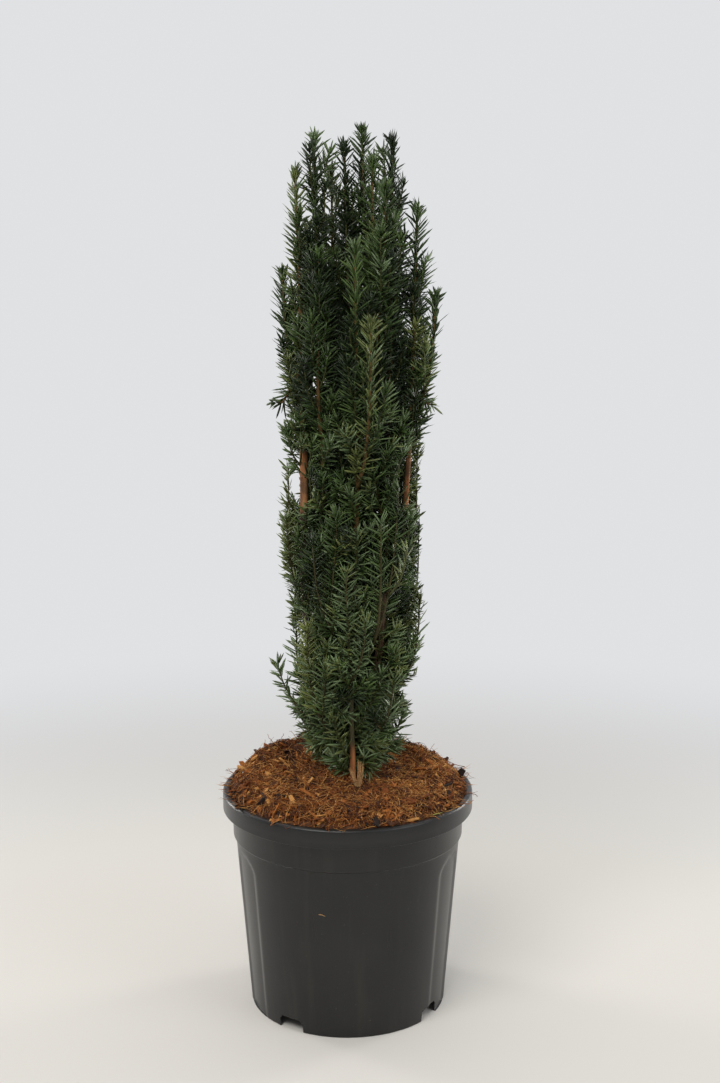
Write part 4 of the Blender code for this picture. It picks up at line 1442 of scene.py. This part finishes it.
def keep_in_pot(points):
    """Move what passes the rim back over the mulch, and above it."""
    away = np.hypot(points[:, 0], points[:, 1])
    limit = MIX_REACH - 0.0012
    low = points[:, 2] < POT_HEIGHT + 0.0006
    over = (away > limit) & low
    away = np.maximum(away, 1e-6)
    factor = np.where(over, limit / away, np.minimum(MULCH_OVERHANG / away, 1.0))
    points[:, :2] *= factor[:, None]
    return points


def fibre_points(chance, spot, length, radius):
    """A wavy fibre lying on the heap, as a three-sided tube."""
    x, y = spot
    turn = chance.uniform(0, 2 * math.pi)
    pitch = chance.gauss(0.05, 0.19)
    steps = len(FIBRE_TAPER)
    points = []
    bend = chance.gauss(0, 0.42)
    lift = chance.uniform(0.0004, 0.0064)
    for step in range(steps):
        share = step / (steps - 1) - 0.5
        points.append((x, y, bed_height(x, y) + lift + pitch * share * length
                       + chance.uniform(-0.0005, 0.0005)))
        turn += bend + chance.gauss(0, 0.22)
        x += math.cos(turn) * length / steps
        y += math.sin(turn) * length / steps
    line = np.array(points)
    ways = unit(np.gradient(line, axis=0))
    side = unit(np.cross(ways, (0.05, 0.02, 1.0)))
    up = np.cross(side, ways)
    radii = radius * np.array(FIBRE_TAPER)
    corners = [line + (side * math.cos(angle) + up * math.sin(angle)) * radii[:, None]
               for angle in FIBRE_SIDES]
    return keep_in_pot(np.stack(corners, axis=1).reshape(-1, 3))


def chip_points(chance, spot, length, width, thick):
    """An irregular flake of husk lying on the heap at some tilt."""
    x, y = spot
    yaw = chance.uniform(0, 2 * math.pi)
    tilt = chance.gauss(0, 0.42)
    roll = chance.gauss(0, 0.55)
    level = math.cos(tilt)
    way = Vector((math.cos(yaw) * level, math.sin(yaw) * level, math.sin(tilt)))
    flat = Vector((0, 0, 1)).cross(way).normalized()
    square = way.cross(flat)
    side = flat * math.cos(roll) + square * math.sin(roll)
    up = square * math.cos(roll) - flat * math.sin(roll)
    centre = Vector((x, y, bed_height(x, y) + chance.uniform(0.0003, 0.0032)))
    points = []
    for along in (-1.0, 0.0, 1.0):
        taper = chance.uniform(0.25, 0.8) if along else chance.uniform(0.8, 1.2)
        lift = chance.gauss(0, 0.0006)
        for across in (-1.0, 1.0):
            for above in (-1.0, 1.0):
                points.append(
                    centre + way * (along * length / 2 * chance.uniform(0.85, 1.1))
                    + side * (across * width / 2 * taper)
                    + up * (above * thick / 2 + lift)
                )
    return keep_in_pot(np.array([tuple(point) for point in points]))


CHIP_FACES = (
    (0, 1, 3, 2), (8, 10, 11, 9),
    (0, 4, 5, 1), (4, 8, 9, 5), (2, 3, 7, 6), (6, 7, 11, 10),
    (1, 5, 7, 3), (5, 9, 11, 7), (0, 2, 6, 4), (4, 6, 10, 8),
)


def make_husk_tuft(chance):
    """A pale two-pronged tuft of husk standing at the foot of the front stem."""
    batch = Batch()
    for order in range(HUSK_FIBRES):
        loose = 1.0 if order < HUSK_TIGHT_FIBRES else HUSK_SPREAD
        prong = Vector(chance.choice(HUSK_TIPS))
        foot = HUSK_FOOT + Vector((chance.gauss(0, 0.0010), chance.gauss(0, 0.0012), 0))
        tip = prong + Vector((chance.gauss(0, 0.0014) * loose, chance.gauss(0, 0.0020), 0))
        tip = foot.lerp(tip, 0.45 + 0.62 * chance.random() ** 0.7)
        swell = Vector((chance.gauss(0, 0.0007), chance.gauss(0, 0.0010), 0))
        line = np.array([tuple(foot.lerp(tip, share) + swell * math.sin(math.pi * share))
                         for share in np.linspace(0, 1, 6)])
        radii = chance.uniform(0.00024, 0.00046) * np.array([1.0, 1.0, 0.9, 0.8, 0.6, 0.3])
        batch.add(tube_points(line, radii, 3), tube_faces(6, 3))
    add_pot_fibre(batch)
    batch.piece("mulch_husk_tuft", chip_look("husk_look", (0.520, 0.300, 0.125)), "coir_mulch")


def add_stray_fibres(batch, chance):
    """Long curled fibres that stand out of the heap near its back edge."""
    for azimuth in STRAY_AZIMUTHS:
        foot = heading(azimuth, 90) * (MIX_REACH * chance.uniform(0.82, 0.93))
        foot.z = bed_height(foot.x, foot.y) - 0.001
        swing = chance.uniform(0, 2 * math.pi)
        line = []
        for share in np.linspace(0, 1, STRAY_POINTS):
            turn = swing + share * chance.uniform(2.0, 3.2)
            line.append((foot.x + STRAY_REACH * share * math.cos(turn),
                         foot.y + STRAY_REACH * share * math.sin(turn),
                         foot.z + STRAY_RISE * share * chance.uniform(0.85, 1.0)))
        radii = np.full(STRAY_POINTS, STRAY_RADIUS)
        batch.add(tube_points(np.array(line), radii, 3), tube_faces(STRAY_POINTS, 3))


def add_pot_fibre(batch):
    """One pale fibre stuck to the pot's side."""
    line = []
    for share in np.linspace(-0.5, 0.5, 6):
        aside = POT_FIBRE_ASIDE + POT_FIBRE_LENGTH * share
        turn = math.radians(-90) + aside / POT_SIDE_RADIUS
        height = POT_FIBRE_HEIGHT - 0.0016 * share + 0.0004 * math.cos(6 * share)
        out = body_radius(height) + 0.0002
        line.append((out * math.cos(turn), out * math.sin(turn), height))
    radii = np.array([0.0002, 0.0004, 0.0005, 0.0005, 0.0004, 0.0002])
    batch.add(tube_points(np.array(line), radii, 5), tube_faces(6, 5))


def make_grit(chance):
    """White grains in the mix, one of them in plain sight at the right."""
    batch = Batch()
    spots = [GRAIN_IN_SIGHT]
    for _ in range(GRAINS):
        spots.append((*mulch_spot(chance), chance.uniform(*GRAIN_SIZES)))
    for x, y, size in spots:
        bm = bmesh.new()
        bmesh.ops.create_icosphere(bm, subdivisions=2, radius=size)
        for vert in bm.verts:
            vert.co *= 1.0 + 0.25 * noise.noise(vert.co * 900 + Vector((x, y, 0)) * 50)
        centre = Vector((x, y, bed_height(x, y) + LOOSE_ABOVE_BED))
        points = np.array([tuple(vert.co + centre) for vert in bm.verts])
        faces = [[vert.index for vert in face.verts] for face in bm.faces]
        bm.free()
        batch.add(points, faces)
    batch.piece("mulch_grit", chip_look("grit_look", (0.62, 0.60, 0.55)), "coir_mulch")


def make_fallen_needles():
    """A few yellowed needles dropped on the mulch, one of them by the rim at the right."""
    rows = []
    for x, y, turn in FALLEN_NEEDLES:
        way = heading(turn, 86)
        width = Vector((0, 0, 1)).cross(way).normalized()
        place = Vector((x, y, bed_height(x, y) + LOOSE_ABOVE_BED))
        rows.append([*place, *way, *width, *way.cross(width), *FALLEN_SHAPE])
    points, faces = needle_mesh(np.array(rows))
    look = needle_look("fallen_needles_look", (0.300, 0.310, 0.060), 0.5)
    add_piece("mulch_fallen_needles", points, faces, look)


def make_mulch():
    make_bed(soil_look())
    chance = random.Random(SEED + 7)
    names = list(MULCH_COLOURS)
    chips = {name: Batch() for name in names}
    fibres = {name: Batch() for name in names}
    fibre_faces = tube_faces(len(FIBRE_TAPER), len(FIBRE_SIDES))
    for order in range(CHIPS):
        spot = mulch_spot(chance)
        colour = chance.choices(names, CHIP_SHARES)[0]
        length = 0.0035 + 0.0125 * chance.random() ** 2.2
        thick = chance.uniform(*CHIP_THICKS)
        if order < BIG_CHIPS:
            length = chance.uniform(*BIG_CHIP_LENGTHS)
            thick = chance.uniform(*BIG_CHIP_THICKS)
        width = length * chance.uniform(*CHIP_WIDTHS)
        chips[colour].add(chip_points(chance, spot, length, width, thick), CHIP_FACES)
    for _ in range(FIBRES):
        spot = mulch_spot(chance)
        colour = chance.choices(names, fibre_shares(spot))[0]
        length = 0.012 + 0.040 * chance.random() ** 2
        radius = chance.uniform(*FIBRE_RADII)
        fibres[colour].add(fibre_points(chance, spot, length, radius), fibre_faces)
    make_husk_tuft(chance)
    add_stray_fibres(fibres["orange"], chance)
    make_grit(chance)
    make_fallen_needles()
    for name, tint in MULCH_COLOURS.items():
        look = chip_look("mulch_" + name + "_look", tint)
        chips[name].piece("mulch_chips_" + name, look, "coir_mulch", smooth=False)
        fibres[name].piece("mulch_fibres_" + name, look, "coir_mulch")


STUDIO_COLOUR = (0.97, 0.98, 1.0, 1.0)
STUDIO_GLOW = (("From Min", -0.3), ("From Max", 0.6), ("To Min", 0.30), ("To Max", 0.77))
FLOOR_COLOUR = (0.790, 0.765, 0.715)
FLOOR_FADE = (("From Min", 0.40), ("From Max", 1.75))
FLOOR_RINGS = (1.0, 4.0, 15.0, 60.0)
FLOOR_SIDES = 64
# Name, place, aim, size, power, colour and beam in degrees of each light
LIGHTS = (
    ("key", (-0.9, -1.7, 2.5), (0, 0, 0.5), (1.8, 1.2), 43, (1.0, 0.98, 0.95), 180),
    ("fill", (1.8, -1.2, 1.5), (0, 0, 0.5), (1.4, 1.4), 12, (0.95, 0.97, 1.0), 180),
    ("side_left", (-1.42, 0.86, 0.55), (0, 0, 0.3), (0.42, 1.1), 2.6, (1.0, 0.97, 0.93), 84),
    ("side_right", (1.42, 0.86, 0.55), (0, 0, 0.3), (0.42, 1.1), 2.6, (1.0, 0.97, 0.93), 84),
)


def studio_glow(tree, place):
    """How bright the studio is in each direction: dimmer in front, brighter at the back."""
    split = add_node(tree, "ShaderNodeSeparateXYZ", place, "Vector")
    glow = add_node(tree, "ShaderNodeMapRange", split.outputs["Y"], "Value", STUDIO_GLOW)
    return glow.outputs["Result"]


def floor_look():
    """A pale floor that fades, away from the plant, into a painted glow as bright as the studio
    round it.
    """
    look = Look("studio_floor_look", FLOOR_COLOUR, 0.75)
    look.specular(0.0)
    # Away from the plant the floor glows: painted light, dimmer in front and brighter at the
    # back
    look.shader.inputs["Emission Color"].default_value = STUDIO_COLOUR
    distance = look.add("ShaderNodeVectorMath", look.place, 0)
    distance.operation = "LENGTH"
    fade = look.add("ShaderNodeMapRange", distance.outputs["Value"], "Value", *FLOOR_FADE)
    fade.interpolation_type = "SMOOTHSTEP"
    faded = fade.outputs["Result"]
    look.colour(look.mix(faded, FLOOR_COLOUR, BLACK))
    direction = look.add("ShaderNodeVectorMath", look.place, 0)
    direction.operation = "NORMALIZE"
    glow = studio_glow(look.tree, direction.outputs["Vector"])
    strength = look.add("ShaderNodeMath", glow, 0)
    strength.operation = "MULTIPLY"
    look.tree.links.new(faded, strength.inputs[1])
    look.tree.links.new(strength.outputs["Value"], look.shader.inputs["Emission Strength"])
    return look.material


def make_stage():
    """A pale round floor, wide enough to have no visible edge."""
    points = [(0.0, 0.0, 0.0)]
    for radius in FLOOR_RINGS:
        points += [(x, y, 0.0) for x, y in circle(radius, FLOOR_SIDES)]
    mesh = bpy.data.meshes.new("studio_floor")
    mesh.from_pydata(points, [], disc_faces(len(FLOOR_RINGS), FLOOR_SIDES))
    mesh.materials.append(floor_look())
    floor = bpy.data.objects.new("studio_floor", mesh)
    bpy.context.scene.collection.objects.link(floor)


def add_light(name, place, target, size, power, colour, beam):
    lamp = bpy.data.lights.new(name, "AREA")
    lamp.shape = "RECTANGLE"
    lamp.size, lamp.size_y = size
    lamp.energy = power
    lamp.color = colour
    lamp.spread = math.radians(beam)
    made = bpy.data.objects.new(name, lamp)
    made.visible_camera = False
    made.location = place
    made.rotation_euler = (Vector(target) - Vector(place)).to_track_quat("-Z", "Y").to_euler()
    bpy.context.scene.collection.objects.link(made)


def light_and_camera():
    world = bpy.data.worlds.new("studio")
    world.use_nodes = True
    tree = world.node_tree
    back = tree.nodes["Background"]
    back.inputs["Color"].default_value = STUDIO_COLOUR
    place = tree.nodes.new("ShaderNodeTexCoord").outputs["Generated"]
    tree.links.new(studio_glow(tree, place), back.inputs["Strength"])
    bpy.context.scene.world = world
    for light in LIGHTS:
        add_light(*light)
    lens = bpy.data.cameras.new("camera")
    lens.sensor_fit = "VERTICAL"
    lens.sensor_height = SENSOR
    lens.lens = EYE_LENS
    camera = bpy.data.objects.new("camera", lens)
    camera.location = EYE
    camera.rotation_euler = (math.radians(90 - EYE_PITCH), 0, 0)
    bpy.context.scene.collection.objects.link(camera)
    bpy.context.scene.camera = camera
    bpy.context.scene.view_settings.view_transform = "Standard"


def make_limbs(trunk, front_stem, boughs):
    plain = bark_look("bark_brown_look", BARK_BROWN)
    bark_mesh("trunk_bark", trunk, plain, "trunk", 28, 0.0010)
    bark_mesh("front_stem_bark", front_stem, front_stem_look(), "front_stem", 14, 0.0004)
    for name, bough in boughs.items():
        look = plain
        if name in PEELED:
            look = bark_look("bark_" + name + "_look", BARK_BROWN, *PEELED[name])
        bark_mesh("bough_" + name + "_bark", bough, look, "bough_" + name, 16, 0.0005)


def grow_crown(masses, limbs):
    """Side shoots and twigs on every mass, and tufts of twigs on the limbs."""
    space = Space()
    for limb in limbs:
        space.add(limb.path, max(limb.radii[1:]), LIMB_OWNER)
    for mass in masses:
        mass.register(space)
    chance = random.Random(SEED)
    for mass in masses:
        mass.add_side_shoots(space, chance)
    tufts = []
    for order, limb in enumerate(limbs):
        tuft = Tuft("tuft", len(masses) + order)
        grow_twigs(tuft, [limb.path], space, chance, LIMB_TWIGS, foot=LIMB_BARE_FOOT)
        grow_twigs(tuft, [limb.path], space, chance, SKIRT_TWIGS, foot=SKIRT_BARE_FOOT,
                   band=SKIRT_BAND)
        tufts.append(tuft)
    for owner in masses + tufts:
        leaders = [shoot.path for shoot in owner.shoots if shoot.rank == 0]
        bare_top = BUSHY_TOPS.get(owner.name, BARE_TOP)
        grow_twigs(owner, leaders, space, chance, SKIRT_TWIGS, band=SKIRT_BAND)
        grow_twigs(owner, leaders, space, chance, SHOOT_TWIGS, bare_top, band=LOWER_BAND)
        grow_twigs(owner, leaders, space, chance, ERECT_TWIGS, bare_top, band=UPPER_BAND)
        others = [shoot.path for shoot in owner.shoots if shoot.rank]
        grow_twigs(owner, others, space, chance, TWIG_TWIGS, band=LOWER_BAND)
    return tufts


def main():
    for old in list(bpy.data.objects):
        bpy.data.objects.remove(old, do_unlink=True)
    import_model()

    make_pot(plastic_look())
    make_mulch()

    trunk = plan_trunk()
    front_stem = plan_front_stem()
    boughs = {name: plan_bough(trunk, *sizes) for name, sizes in BOUGHS.items()}
    limbs = (trunk, front_stem, *boughs.values())
    make_limbs(trunk, front_stem, boughs)
    masses = plan_masses(trunk, front_stem, boughs)
    tufts = grow_crown(masses, limbs)
    make_foliage(masses, tufts, Clearing(limbs, boughs))

    make_stage()
    light_and_camera()


main()
